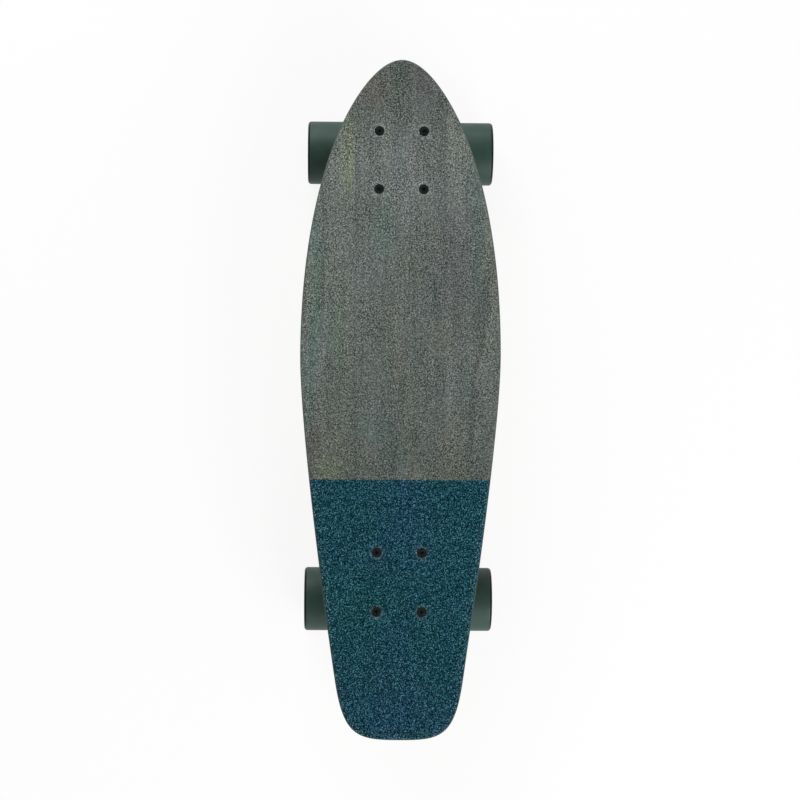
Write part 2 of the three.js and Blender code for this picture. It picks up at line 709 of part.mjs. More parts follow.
// What the axle nut clamps: two speed washers, two inner races and the spacer between them.
function sleeve(name) {
  const bore = axleRadius + axleFit;
  const half = sleeveLength / 2;
  const profile = [[bore, -half], [innerRaceRadius, -half], [innerRaceRadius, half], [bore, half]];
  return piece(name, ring(profile, axleSides), finishes.steel);
}

// A bearing's outer race closed by its two shields, which hide the balls and stop short of the inner race.
function bearing(name, towards) {
  const lip = innerRaceRadius + runningGap;
  const outside = bearingRadius - axleFit;
  const [from, to] = [spacerLength / 2, spacerLength / 2 + bearingWidth];
  const geometry = ring([[lip, from], [outside, from], [outside, to], [lip, to]]);
  return piece(name, towards > 0 ? geometry : geometry.rotateX(Math.PI), finishes.shield);
}

// The hard core that the bearings press into, flared at both ends.
function wheelCore(name) {
  const half = wheelWidth / 2 - dishDepth;
  const shoulder = spacerLength / 2;
  const seat = shoulder + bearingWidth;
  const inside = [[coreMouthRadius, half], [bearingRadius, seat]];
  inside.push([bearingRadius, shoulder], [coreShoulderRadius, shoulder]);
  const mirrored = inside.map(([radius, along]) => [radius, -along]).reverse();
  const profile = [[coreRadius, -half], [coreRadius, half], ...inside, ...mirrored];
  return piece(name, ring(profile), finishes.core);
}

function tyre(name) {
  const half = wheelWidth / 2;
  const outer = [];
  for (let step = 0; step <= lipSteps; step++) {
    const angle = (step / lipSteps) * (Math.PI / 2);
    const radius = wheelRadius - lipRound * (1 - Math.cos(angle));
    outer.push([radius, half - lipRound * (1 - Math.sin(angle))]);
  }
  const inner = [[faceRadius, half], [coreRadius + seatGap, half - dishDepth]];
  const upper = [...outer, ...inner];
  const lower = upper.map(([radius, along]) => [radius, -along]).reverse();
  return piece(name, ring([...lower, ...upper]), finishes.urethane);
}

// A wheel turns on its sleeve, its own axis pointing out from the board.
function wheel(corner, side) {
  const turning = new THREE.Group();
  turning.add(tyre(`${corner}_tyre`), wheelCore(`${corner}_core`), sleeve(`${corner}_sleeve`));
  turning.add(bearing(`${corner}_bearing_outer`, 1), bearing(`${corner}_bearing_inner`, -1));
  turning.position.copy(axleMiddle).setX(side * wheelMiddle);
  turning.quaternion.setFromUnitVectors(up, new THREE.Vector3(side, 0, 0));
  return turning;
}

// The pieces stacked on the kingpin, in a group that leans with it.
function kingpinLine(end) {
  const line = new THREE.Group();
  line.add(kingpin(`${end}_kingpin`), kingpinNut(`${end}_kingpin_nut`));
  line.add(boardBushing(`${end}_bushing_board`), roadBushing(`${end}_bushing_road`));
  const boardCup = cuppedWasher(bushingEndRadius, bushingBevel, boardWasher, -1);
  const cone = roadBushingHeight - bushingBevel;
  const roadCup = cuppedWasher(roadBushingEndRadius, cone, roadWasher - washerThickness, 1);
  line.add(piece(`${end}_washer_board`, boardCup, finishes.steel));
  line.add(piece(`${end}_washer_road`, roadCup, finishes.steel));
  line.position.copy(yokeMiddle);
  line.quaternion.setFromUnitVectors(up, kingpinUp);
  return line;
}

// A truck faces outward along its own +Y, so the rear one is the front one turned half round.
function truck(end, ahead, facing) {
  const whole = new THREE.Group();
  whole.add(baseplate(`${end}_baseplate`), pivotCup(`${end}_pivot_cup`), kingpinLine(end));
  whole.add(hanger(`${end}_hanger`), axle(`${end}_axle`));
  for (const [name, side] of [["left", -1], ["right", 1]]) {
    whole.add(axleNut(`${end}_axle_nut_${name}`, side * facing), wheel(`${end}_${name}`, side * facing));
  }
  whole.position.set(0, ahead, mountFace);
  whole.rotation.z = facing > 0 ? 0 : Math.PI;
  return whole;
}

const board = new THREE.Group();
board.add(deck(), ...gripSheets(), ...deckBolts());
for (const [end, ahead, facing] of [["front", frontTruck, 1], ["rear", rearTruck, -1]]) {
  const pad = riserPad(`riser_${end}`);
  pad.position.set(0, ahead, mountFace);
  board.add(pad, truck(end, ahead, facing));
}

export default board;
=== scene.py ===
# The cruiser skateboard, dressed in the order in which it is put together.
# Metres, +Z up, nose at +Y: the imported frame's own axes.
import math

import bmesh
import bpy
import numpy as np
from mathutils import Matrix, Vector


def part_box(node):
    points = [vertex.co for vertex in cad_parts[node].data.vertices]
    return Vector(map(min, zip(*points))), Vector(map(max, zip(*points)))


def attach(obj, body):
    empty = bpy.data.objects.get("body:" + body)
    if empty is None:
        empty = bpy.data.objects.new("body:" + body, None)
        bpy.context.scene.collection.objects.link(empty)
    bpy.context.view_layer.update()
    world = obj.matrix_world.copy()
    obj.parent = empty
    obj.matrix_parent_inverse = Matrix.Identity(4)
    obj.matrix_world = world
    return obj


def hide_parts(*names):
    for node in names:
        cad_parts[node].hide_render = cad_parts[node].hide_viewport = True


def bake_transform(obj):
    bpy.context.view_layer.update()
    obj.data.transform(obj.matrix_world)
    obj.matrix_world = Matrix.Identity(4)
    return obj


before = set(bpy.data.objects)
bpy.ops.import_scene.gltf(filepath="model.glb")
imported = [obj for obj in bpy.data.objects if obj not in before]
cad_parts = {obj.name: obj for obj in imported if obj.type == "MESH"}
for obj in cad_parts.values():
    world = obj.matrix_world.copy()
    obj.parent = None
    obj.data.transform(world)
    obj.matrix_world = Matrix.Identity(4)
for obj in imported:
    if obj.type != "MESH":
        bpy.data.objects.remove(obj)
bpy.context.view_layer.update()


# Deck: seven maple veneers, glued with the grain crossed and pressed in a mould, then sawn to the outline.
# Its rounded edge and its top are stained and sealed, and the face that looks at the road is clear-lacquered.
deck_low, deck_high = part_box("deck")
riser_low, riser_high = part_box("riser_front")
nose_tip, tail_end, half_width = deck_high.y, deck_low.y, deck_high.x
deck_underside, deck_thickness = riser_high.z, 0.010
deck_top = deck_underside + deck_thickness
edge_round, edge_round_steps = 0.003, 6
nose_bluntness, tail_bluntness = 0.0364, 0.037
widest_ahead, fore_fullness, aft_fullness = 0.038, 0.1788, 0.0658
shoulder_width, shoulder_ahead, shoulder_taper = 0.116, 0.051, math.radians(9.5)
shoulder_fullness, corner_fullness = 0.060, 0.0494
dish_clear, nose_clear, kick_clear = 0.0024, 0.002, 0.004
flat_half, dish_rise = riser_high.x + dish_clear, 0.005
nose_lift_start, nose_lift = riser_high.y + nose_clear, 0.008
kick_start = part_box("riser_rear")[0].y - kick_clear
kick_angle, kick_radius = math.radians(20), 0.095
nose_cap, tail_cap = 0.060, 0.030
outline_steps, face_rows = (84, 40, 48), 22
veneers, edge_margin = 7, 0.0001
merge_reach, crease = 1e-6, math.radians(32)


def bezier(corners, shares):
    """Places and unit directions along one cubic stretch of the outline."""
    a, b, c, d = (np.array(corner, float) for corner in corners)
    t = shares[:, None]
    place = a * (1 - t) ** 3 + 3 * b * (1 - t) ** 2 * t + 3 * c * (1 - t) * t**2 + d * t**3
    along = (b - a) * (1 - t) ** 2 + 2 * (c - b) * (1 - t) * t + (d - c) * t**2
    return place, along / np.linalg.norm(along, axis=1)[:, None]


def deck_outline():
    """The edge seen from above, right side down and left side back up, with its outward normals."""
    shoulder = np.array((shoulder_width / 2, tail_end + shoulder_ahead))
    aft = np.array((-math.sin(shoulder_taper), -math.cos(shoulder_taper)))
    widest = (half_width, widest_ahead)
    nose = ((0, nose_tip), (nose_bluntness, nose_tip), (half_width, widest_ahead + fore_fullness), widest)
    side = (widest, (half_width, widest_ahead - aft_fullness), shoulder - aft * shoulder_fullness, shoulder)
    corner = (shoulder, shoulder + aft * corner_fullness, (tail_bluntness, tail_end), (0, tail_end))
    places, normals = [], []
    for corners, steps in zip((nose, side, corner), outline_steps):
        place, along = bezier(corners, np.linspace(0, 1, steps, endpoint=False))
        places.append(place)
        normals.append(np.column_stack((-along[:, 1], along[:, 0])))
    places = np.vstack((*places, (0, tail_end)))
    normals = np.vstack((*normals, (0, -1)))
    mirror = np.array((-1, 1))
    return np.vstack((places, places[-2:0:-1] * mirror)), np.vstack((normals, normals[-2:0:-1] * mirror))


def deck_lift(x, y):
    """How far the mould lifts a point above the flat strip over the trucks."""
    aside = np.maximum(0, np.abs(x) - flat_half) / (half_width - flat_half)
    ahead = np.maximum(0, y - nose_lift_start) / (nose_tip - nose_lift_start)
    behind = np.maximum(0, kick_start - y)
    bend = kick_radius * math.sin(kick_angle)
    curve = kick_radius - np.sqrt(kick_radius**2 - np.minimum(behind, bend) ** 2)
    ramp = np.maximum(0, behind - bend) * math.tan(kick_angle)
    return dish_rise * aside**2 + nose_lift * ahead**2 + curve + ramp


edge_places, edge_normals = deck_outline()


def deck_row(inset, height, share=1.0):
    """A loop round the deck, inset from its edge or drawn in to a share of the way out from its spine."""
    edge = edge_places - edge_normals * inset
    spine = np.clip(edge_places[:, 1], tail_end + tail_cap, nose_tip - nose_cap)
    x = edge[:, 0] * share
    y = spine + (edge[:, 1] - spine) * share
    return np.column_stack((x, y, height + deck_lift(x, y)))


def skinned(rows, ring=False, capped=False):
    """A closed shape through loops of places, whose ends close to a line or pole, in caps or in a ring."""
    shape = bmesh.new()
    loops = [[shape.verts.new(place) for place in row] for row in rows]
    for low, high in zip(loops, loops[1:] + loops[:ring]):
        for step in range(max(len(low), len(high))):
            turns = ((low, step - 1), (low, step), (high, step), (high, step - 1))
            shape.faces.new(list(dict.fromkeys(loop[turn % len(loop)] for loop, turn in turns)))
    if capped:
        shape.faces.new(loops[0][::-1])
        shape.faces.new(loops[-1])
    bmesh.ops.remove_doubles(shape, verts=shape.verts, dist=merge_reach)
    bmesh.ops.recalc_face_normals(shape, faces=shape.faces)
    return shape


def arc(middle, radius, start, end, steps):
    """Places along a round stretch of an outline, between two angles in degrees."""
    angles = np.radians(np.linspace(start, end, steps + 1))
    return [(middle[0] + radius * math.cos(angle), middle[1] + radius * math.sin(angle)) for angle in angles]


def raised(outline, height):
    """A flat outline set at a height."""
    return [(x, y, height) for x, y in outline]


def circle(radius, height, sides):
    """A loop of places about Z, or the one place on the axis where the radius is zero."""
    if radius < merge_reach:
        return [(0, 0, height)]
    return raised(arc((0, 0), radius, 0, 360, sides)[:-1], height)


def turned(profile, sides=64, ring=False):
    """A shape turned about Z from its radii and heights."""
    return skinned([circle(radius, height, sides) for radius, height in profile], ring)


def joined(*shapes):
    """Several shapes as one, each still closed on its own."""
    whole = bmesh.new()
    for shape in shapes:
        mesh = bpy.data.meshes.new("part")
        shape.to_mesh(mesh)
        whole.from_mesh(mesh)
        bpy.data.meshes.remove(mesh)
    return whole


def moved(shape, matrix):
    """A copy of a shape, moved by a matrix."""
    copy = shape.copy()
    bmesh.ops.transform(copy, matrix=matrix, verts=copy.verts)
    return copy


def bare_object(name, data):
    """A shape, or data such as a finished mesh or a lamp, as a plain object in the scene."""
    if isinstance(data, bmesh.types.BMesh):
        shape, data = data, bpy.data.meshes.new(name)
        shape.to_mesh(data)
    thing = bpy.data.objects.new(name, data)
    bpy.context.scene.collection.objects.link(thing)
    return thing


def settled(thing):
    """A shape with the object's modifiers in it, and the object gone."""
    shape = bmesh.new()
    shape.from_object(thing, bpy.context.evaluated_depsgraph_get())
    bmesh.ops.remove_doubles(shape, verts=shape.verts, dist=merge_reach)
    bpy.data.objects.remove(thing)
    return shape


def cut(shape, *cutters):
    """A shape with others taken out of it, as a drill or a mill does."""
    thing = bare_object("blank", shape)
    tool = bare_object("tool", joined(*cutters))
    boolean = thing.modifiers.new("cut", "BOOLEAN")
    boolean.operation, boolean.solver, boolean.object = "DIFFERENCE", "MANIFOLD", tool
    result = settled(thing)
    bpy.data.objects.remove(tool)
    return result


def piece(name, shape, finishes, body, slot, *nodes, smooth=True):
    """A finished piece that rides on a body and stands for its solids."""
    thing = bare_object(name, shape)
    for finish in finishes:
        thing.data.materials.append(finish.material)
    if smooth:
        thing.data.shade_smooth()
        thing.data.set_sharp_from_angle(angle=crease)
    if nodes:
        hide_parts(*nodes)
    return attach(thing, body) if body else thing


def step_in(tree, kind, *values, settings=None, **named):
    """What a new node of a tree gives out, its inputs set or linked in their order or by name."""
    node = tree.nodes.new(kind)
    for key, value in (settings or {}).items():
        setattr(node, key, value)
    inputs = dict(enumerate(values)) | {key.replace("_", " "): value for key, value in named.items()}
    for key, value in inputs.items():
        socket = node.inputs[key]
        if isinstance(value, bpy.types.NodeSocket):
            tree.links.new(value, socket)
        elif value is not None:
            socket.default_value = (*value, 1) if socket.type == "RGBA" else value
    return node.outputs


class Finish:
    """A material and the few kinds of step that its pattern is built from."""

    stain_rim, stain_core, smooth = 1.35, 0.25, {"interpolation_type": "SMOOTHSTEP"}

    def __init__(self, name, **surface):
        self.material = bpy.data.materials.new(name)
        self.material.use_nodes = True
        self.tree = self.material.node_tree
        self.shader = self.tree.nodes["Principled BSDF"].inputs
        for label, value in surface.items():
            self.shader[label.replace("_", " ")].default_value = value
        self.place = self.step("TexCoord")["Object"]

    def step(self, kind, *values, **named):
        return step_in(self.tree, "ShaderNode" + kind, *values, **named)

    def math(self, operation, *values):
        return self.step("Math", *values, settings={"operation": operation})[0]

    def spread(self, value, *ends, **named):
        return self.step("MapRange", value, *ends, **named)["Result"]

    def noise(self, fineness, detail=2.0, shift=(0, 0, 0), bend=0.0, output="Fac"):
        """Smooth random values, with one fineness for all axes or one for each."""
        scale = fineness if isinstance(fineness, tuple) else (fineness,) * 3
        placed = self.step("Mapping", self.place, Location=shift, Scale=scale)["Vector"]
        return self.step("TexNoise", placed, Scale=1.0, Detail=detail, Distortion=bend)[output]

    def wandering(self, fineness, amount):
        """A smooth random offset of up to half the amount each way, for ragged outlines."""
        drift = self.noise(fineness, 3.0, output="Color")
        centred = (amount, amount, 0), (-amount / 2, -amount / 2, 0)
        return self.step("VectorMath", drift, *centred, settings={"operation": "MULTIPLY_ADD"})["Vector"]

    def stain(self, wander, middle, reach, lean=0):
        """How deep a point lies in a ragged streak, leaning right by degrees: 1 in its middle, 0 outside."""
        place = ((*middle[:2], 0), (0, 0, -math.radians(lean)), (*reach, 1))
        placed = self.step("Mapping", self.place, *place, settings={"vector_type": "TEXTURE"})["Vector"]
        ragged = self.step("VectorMath", placed, wander, settings={"operation": "ADD"})["Vector"]
        away = self.step("VectorMath", ragged, settings={"operation": "LENGTH"})["Value"]
        return self.spread(away, self.stain_rim, self.stain_core, settings=self.smooth)

    def cells(self, fineness):
        """Cells of a sprayed coat, seen from above: a random tone for each, and how far its middle is."""
        return self.step("TexVoronoi", self.place, settings={"voronoi_dimensions": "2D"}, Scale=fineness)

    def attribute(self, name):
        return self.step("Attribute", settings={"attribute_name": name})["Fac"]

    def ramp(self, factor, *stops):
        """A colour, or a grey from one number, for each value of a factor."""
        colours = self.step("ValToRGB", factor)["Color"]
        elements = colours.node.color_ramp.elements
        while len(elements) < len(stops):
            elements.new(0.5)
        for element, (position, colour) in zip(elements, stops):
            element.position = position
            element.color = (*(colour if isinstance(colour, tuple) else (colour,) * 3), 1)
        return colours

    def mixed(self, factor, first, second, blend="MIX"):
        """Two colours mixed by a factor, through the node's seventh and eighth inputs, which take colours."""
        settings = {"data_type": "RGBA", "blend_type": blend}
        return self.step("Mix", factor, *[None] * 5, first, second, settings=settings)[2]

    def toned(self, colour, tone, strength=1.0):
        return self.mixed(strength, colour, tone, "MULTIPLY")

    def coloured(self, colour):
        self.tree.links.new(colour, self.shader["Base Color"])

    def roughened(self, factor, least, most):
        self.tree.links.new(self.spread(factor, To_Min=least, To_Max=most), self.shader["Roughness"])

    def bumped(self, height, depth):
        self.tree.links.new(self.step("Bump", Distance=depth, Height=height)["Normal"], self.shader["Normal"])

    def mottled(self, pattern, dark, light, least, most, start=0.3, end=0.7):
        """Colour and roughness that wander together between two tones."""
        self.coloured(self.ramp(pattern, (start, dark), (end, light)))
        self.roughened(pattern, least, most)


maple_light, maple_mid, maple_dark = (0.60, 0.42, 0.25), (0.50, 0.33, 0.18), (0.36, 0.21, 0.10)
wood = Finish("lacquered_maple", Coat_Weight=0.15, Specular_IOR_Level=0.3)
figure = wood.noise((26, 1.9, 1.9), detail=5.0, bend=0.9)
lines = wood.noise((170, 3.4, 3.4), detail=4.0, bend=0.5)
fibres = wood.noise((620, 14, 14), detail=3.0)
face = wood.ramp(figure, (0.30, maple_dark), (0.46, maple_mid), (0.62, maple_light))
face = wood.toned(face, wood.ramp(lines, (0.36, 0.66), (0.50, 0.94), (0.66, 1.06)), strength=0.55)
wood.coloured(wood.toned(face, wood.ramp(fibres, (0.35, 0.50), (0.60, 1.0)), strength=0.45))
wood.roughened(fibres, least=0.30, most=0.48)
wood.bumped(fibres, depth=0.00006)

colour_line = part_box("grip_rear")[1].y
edge_stain, edge_stain_light, glue_dark = (0.022, 0.030, 0.032), (0.040, 0.052, 0.054), (0.010, 0.013, 0.014)
face_stain, face_paint = (0.090, 0.109, 0.095), (0.020, 0.066, 0.074)
edge = Finish("stained_and_sealed_edge", Specular_IOR_Level=0.15)
through = edge.attribute("through")
plies = edge.math("MULTIPLY", through, veneers)
crossed = edge.math("FRACT", edge.math("MULTIPLY", plies, 0.5))
edge_tone = edge.ramp(crossed, (0.49, edge_stain), (0.51, edge_stain_light))
edge_tone = edge.mixed(edge.ramp(edge.math("FRACT", plies), (0.0, 1.0), (0.10, 0.0)), edge_tone, glue_dark)
ahead_of_line = edge.math("GREATER_THAN", edge.step("SeparateXYZ", edge.place)["Y"], colour_line)
over_edge = edge.mixed(ahead_of_line, face_paint, face_stain)
edge_tone = edge.mixed(edge.ramp(through, (0.74, 0.0), (0.84, 1.0)), edge_tone, over_edge)
streaks = edge.noise((90, 60, 900), detail=3.0)
edge.coloured(edge.toned(edge_tone, edge.ramp(streaks, (0.3, 0.6), (0.7, 1.0)), strength=0.5))
edge.roughened(streaks, least=0.50, most=0.68)

face_shares = [step / face_rows for step in range(face_rows)]
rounding = arc((edge_round, edge_round), edge_round, -90, -180, edge_round_steps)
rows = [deck_row(edge_round, deck_top, share) for share in face_shares]
rows += [deck_row(inset, deck_top - drop) for inset, drop in rounding]
rows += [deck_row(inset, deck_underside + drop) for inset, drop in reversed(rounding)]
rows += [deck_row(edge_round, deck_underside, share) for share in reversed(face_shares)]

grip_thickness = 0.00105
grip_top = deck_top + grip_thickness
bolt_spacing_across, bolt_spacing_along = 0.04128, 0.05398
bolt_radius, bolt_head_radius, bolt_head_rim = 0.0024, 0.0045, 0.0005
bolt_clearance, overrun = 0.00025, 0.001
truck_ahead = {end: sum(corner.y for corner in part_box(f"riser_{end}")) / 2 for end in ("front", "rear")}
half_spacing = Vector((bolt_spacing_across, bolt_spacing_along, 0)) / 2
bolt_corners = [half_spacing * Vector((side, along, 0)) for along in (1, -1) for side in (-1, 1)]
bolt_axes = [Vector((0, ahead, 0)) + corner for ahead in truck_ahead.values() for corner in bolt_corners]


def at_bolts(cutter, places=bolt_axes):
    """Copies of a drill or countersink, one on each bolt's axis."""
    return [moved(cutter, Matrix.Translation(place)) for place in places]


hole, mouth = bolt_radius + bolt_clearance, bolt_head_radius + bolt_clearance
sink_rim = grip_top - bolt_head_rim
sink = [(0, deck_underside - overrun), (hole, deck_underside - overrun), (hole, sink_rim - mouth + hole)]
sink += [(mouth, sink_rim), (mouth, grip_top + overrun), (0, grip_top + overrun)]
board = cut(skinned(rows), *at_bolts(turned(sink, sides=40)))
deck = piece("deck_board", board, [wood, edge], "root", "deck_wood", "deck")


def from_edge(points, batches=40):
    """How far inside the deck's outline each point lies, seen from above."""
    chunks = np.array_split(points[:, None, :2], batches)
    return np.concatenate([np.linalg.norm(chunk - edge_places[None], axis=2).min(axis=1) for chunk in chunks])


def with_attribute(thing, name, values):
    """A named value on each point of a piece, for its material."""
    field = thing.data.attributes.new(name, "FLOAT", "POINT")
    field.data.foreach_set("value", np.asarray(values, np.float32))


top_share, sink_floor_share, sink_reach_share = 0.99, 0.3, 1.1
spots = np.array([vertex.co for vertex in deck.data.vertices])
rise = (spots[:, 2] - deck_underside - deck_lift(spots[:, 0], spots[:, 1])) / deck_thickness
with_attribute(deck, "through", np.clip(rise, 0, 1))
bolt_spots = np.array([axis.xy for axis in bolt_axes])
from_bolt = np.linalg.norm(spots[:, None, :2] - bolt_spots[None], axis=2).min(axis=1)
in_sink = (from_bolt < mouth * sink_reach_share) & (rise > sink_floor_share)
sealed = (from_edge(spots) < edge_round + edge_margin) | (rise > top_share) | in_sink
for polygon in deck.data.polygons:
    polygon.material_index = int(all(sealed[index] for index in polygon.vertices))


# Grit: clear crystals over a grey-green stained veneer ahead, and over teal-blue paint behind a masked line.
# It is sprayed on wet glue and feathers out on the rounded edge. Use has worn it pale round the front bolts
# and chipped the paint round the rear ones.
grit_edge, grit_body, grit_feather, grit_lift = 0.0011, 0.0042, 0.00012, 0.00002
feather_steps, plane_reach = 8, 1e-7
rim_wear_and_sheen_reach, grip_hole_clearance = 0.007, 0.0002
grain_rise, grain_size, grains_per_square_metre = 0.0005, 0.00100, 210000.0
grit_top = grip_top - grain_rise
grip_hole_radius = bolt_head_radius + grip_hole_clearance


def rectangle(left, right, low, high):
    """The corners of a rectangle, such as a bar's or a ring's section."""
    return [(left, low), (right, low), (right, high), (left, high)]


def rod(radius, low, high, sides=48):
    """A plain bar about Z."""
    return turned(rectangle(0, radius, low, high), sides)


def grit_rows():
    """Loops over the deck's top and back under the coat, thinning out towards the rounded edge."""
    above = [deck_row(grit_body, grit_top, share) for share in face_shares]
    below = [deck_row(grit_body, deck_top + grit_lift, share) for share in face_shares]
    for step in range(feather_steps + 1):
        share = step / feather_steps
        inset = grit_body + (grit_edge - grit_body) * share
        drop = edge_round - math.sqrt(edge_round**2 - max(0, edge_round - inset) ** 2)
        coat = (grit_top - deck_top) * (1 - share**2) + grit_feather * share**2
        above.append(deck_row(inset, deck_top - drop + coat))
        below.append(deck_row(inset, deck_top - drop + grit_lift))
    return above + below[::-1]


def split(shape, place, normal, **options):
    """Divides a shape's faces along a plane."""
    options |= {"geom": shape.verts[:] + shape.edges[:] + shape.faces[:], "dist": plane_reach}
    return bmesh.ops.bisect_plane(shape, plane_co=place, plane_no=normal, **options)


def halved(shape, sign):
    """The part of a sheet ahead of the colour line or behind it, closed along the line."""
    half = shape.copy()
    result = split(half, (0, colour_line, 0), (0, sign, 0), clear_inner=True)
    line = [item for item in result["geom_cut"] if isinstance(item, bmesh.types.BMEdge)]
    bmesh.ops.triangle_fill(half, use_beauty=True, use_dissolve=False, edges=line)
    bmesh.ops.recalc_face_normals(half, faces=half.faces)
    return half


def new_tree(name, **inputs):
    """An empty Geometry Nodes tree with a geometry in and out, and what its named inputs give."""
    tree = bpy.data.node_groups.new(name, "GeometryNodeTree")
    for label, kind in {"Geometry": "Geometry", **inputs}.items():
        label = label.replace("_", " ")
        tree.interface.new_socket(name=label, in_out="INPUT", socket_type="NodeSocket" + kind)
    tree.interface.new_socket(name="Geometry", in_out="OUTPUT", socket_type="NodeSocketGeometry")
    return tree, tree.nodes.new("NodeGroupInput").outputs


def planted(tree, copies, finish):
    """The end of a tree: its copies are made real, given their material and sent out."""
    real = step_in(tree, "GeometryNodeRealizeInstances", copies)[0]
    dressed = step_in(tree, "GeometryNodeSetMaterial", real, Material=finish)[0]
    step_in(tree, "NodeGroupOutput", dressed)
    return tree


def grown(shape, tree, **values):
    """What a tree makes of a shape with the given input values, as a plain mesh."""
    thing = bare_object("seed", shape)
    modifier = thing.modifiers.new("grow", "NODES")
    modifier.node_group = tree
    for socket in tree.interface.items_tree:
        label = socket.name.replace(" ", "_")
        if socket.in_out == "INPUT" and label in values:
            modifier[socket.identifier] = values[label]
    graph = bpy.context.evaluated_depsgraph_get()
    mesh = bpy.data.meshes.new_from_object(thing.evaluated_get(graph), depsgraph=graph)
    bpy.data.objects.remove(thing)
    return mesh


def grain_tree():
    """Scatters flattened crystals, half sunk in the sheet's upward faces and turned every way."""
    least_upward, least_shares, most_shares = 0.75, (0.55, 0.45, 0.35), (1.25, 1.0, 0.7)
    sizes = {"Density": "Float", "Grain_Size": "Float", "Seed": "Int", "Finish": "Material"}
    tree, given = new_tree("grit_grains", **sizes)
    vector, number = {"data_type": "FLOAT_VECTOR"}, {"data_type": "FLOAT"}
    height = step_in(tree, "ShaderNodeSeparateXYZ", step_in(tree, "GeometryNodeInputNormal")[0])["Z"]
    above = {**number, "operation": "GREATER_THAN"}
    upward = step_in(tree, "FunctionNodeCompare", height, least_upward, settings=above)[0]
    points = step_in(tree, "GeometryNodeDistributePointsOnFaces", given["Geometry"], upward,
                     Density=given["Density"], Seed=given["Seed"])["Points"]
    radius = step_in(tree, "ShaderNodeMath", given["Grain Size"], 0.5, settings={"operation": "MULTIPLY"})[0]
    crystal = step_in(tree, "GeometryNodeMeshUVSphere", Segments=4, Rings=2, Radius=radius)["Mesh"]
    turn = step_in(tree, "FunctionNodeRandomValue", Max=(2 * math.pi,) * 3, Seed=given["Seed"],
                   settings=vector)[0]
    shares = step_in(tree, "FunctionNodeRandomValue", least_shares, most_shares, settings=vector)[0]
    copies = step_in(tree, "GeometryNodeInstanceOnPoints", points, Instance=crystal, Rotation=turn,
                     Scale=shares)[0]
    tone = step_in(tree, "FunctionNodeRandomValue", settings=number)[1]
    toned = step_in(tree, "GeometryNodeStoreNamedAttribute", copies, Name="tone", Value=tone,
                    settings={**number, "domain": "INSTANCE"})[0]
    return planted(tree, toned, given["Finish"])


stained = Finish("stained_veneer_under_clear_grit", Specular_IOR_Level=0.1)
bands = stained.noise((52, 3.6, 1), detail=4.0, shift=(3.1, 0.4, 0), bend=0.8)
tints = stained.noise((30, 8, 1), shift=(9.7, 5.3, 0), bend=0.6)
patches = stained.noise((24, 9, 1), shift=(1.9, 8.6, 0), bend=0.6)
fibre = stained.noise((190, 6, 1), detail=4.0, bend=0.3)
veneer = stained.ramp(bands, (0.30, (0.137, 0.159, 0.150)), (0.50, (0.159, 0.180, 0.168)),
                      (0.62, (0.181, 0.203, 0.190)), (0.74, (0.157, 0.175, 0.163)))
veneer = stained.mixed(stained.ramp(tints, (0.48, 0.0), (0.70, 0.5)), veneer, (0.118, 0.164, 0.150))
veneer = stained.mixed(stained.ramp(patches, (0.48, 0.0), (0.70, 0.5)), veneer, (0.180, 0.192, 0.144))
# Each streak or patch of the stain: its middle, half width and half length, tint, and any lean in degrees.
stains = (
    ((-0.079, 0.105), (0.0065, 0.06), (0.8, 0.97, 0.94)),
    ((-0.084, 0.14), (0.005, 0.045), (1.22, 1.17, 1.16)),
    ((-0.082, 0.035), (0.008, 0.06), (0.82, 0.96, 0.94)),
    ((0.08, 0.02), (0.009, 0.09), (1.19, 1.18, 1.15), 6),
    ((0.0752, 0.087), (0.005, 0.044), (0.84, 0.83, 0.86), 10),
    ((0.067, -0.014), (0.004, 0.062), (0.88, 0.86, 0.86), 3),
    ((-0.064, 0.084), (0.007, 0.085), (1.16, 1.2, 1.18)),
    ((-0.05, 0.23), (0.009, 0.05), (1.22, 1.24, 1.03)),
    ((-0.054, 0.052), (0.009, 0.058), (1.09, 1.14, 0.98)),
    ((-0.03, 0.117), (0.022, 0.016), (1.08, 1.09, 1.11)),
    ((-0.018, 0.154), (0.017, 0.036), (0.88, 1.01, 0.98)),
    ((0.002, 0.205), (0.01, 0.054), (1.17, 1.12, 1.19)),
    ((0.045, 0.12), (0.023, 0.07), (0.88, 0.85, 0.9)),
    ((0.01, 0.12), (0.014, 0.032), (0.87, 0.94, 0.88)),
    ((0.078, 0.135), (0.006, 0.05), (1.13, 1.11, 1.04), 8),
    ((-0.028, -0.028), (0.018, 0.017), (0.92, 1.03, 1.02)),
    ((0.01, -0.05), (0.02, 0.022), (0.84, 0.88, 0.84)),
    ((0.052, -0.01), (0.01, 0.062), (1.11, 1.08, 1.11)),
    ((-0.078, -0.038), (0.007, 0.022), (0.84, 0.78, 0.76)),
    ((-0.062, -0.066), (0.018, 0.01), (0.98, 1.07, 0.9)),
    ((0.021, 0.294), (0.012, 0.02), (0.98, 0.88, 0.94)),
    ((-0.024, 0.285), (0.012, 0.024), (1.0, 0.88, 0.88)),
    ((0.006, 0.289), (0.008, 0.018), (0.84, 0.95, 0.96)),
    ((-0.0475, 0.222), (0.0018, 0.04), (1.24, 1.25, 1.04)),
    ((-0.07, 0.06), (0.0014, 0.042), (1.24, 1.25, 1.26), 2),
    ((0.065, 0.129), (0.0015, 0.043), (1.24, 1.22, 1.2), 13),
    ((0.079, 0.053), (0.0016, 0.041), (1.26, 1.25, 1.2), 12),
    ((0.074, 0.05), (0.0022, 0.041), (0.82, 0.81, 0.82), 12),
    ((0.0696, -0.03), (0.0014, 0.042), (1.26, 1.26, 1.2), 2),
)
wander = stained.wandering((34, 9, 1), amount=1.3)
for middle, reach, tint, *lean in stains:
    soaked = stained.stain(wander, middle, reach, *lean)
    veneer = stained.mixed(soaked, veneer, stained.toned(veneer, tint))
# Tone along the deck: darker just ahead of the colour line, lightest about three quarters of the way up, then
# darker again to the nose tip; that last darkening is painted shade of the lifted nose.
up_the_deck = stained.spread(stained.step("SeparateXYZ", stained.place)["Y"], colour_line, nose_tip)
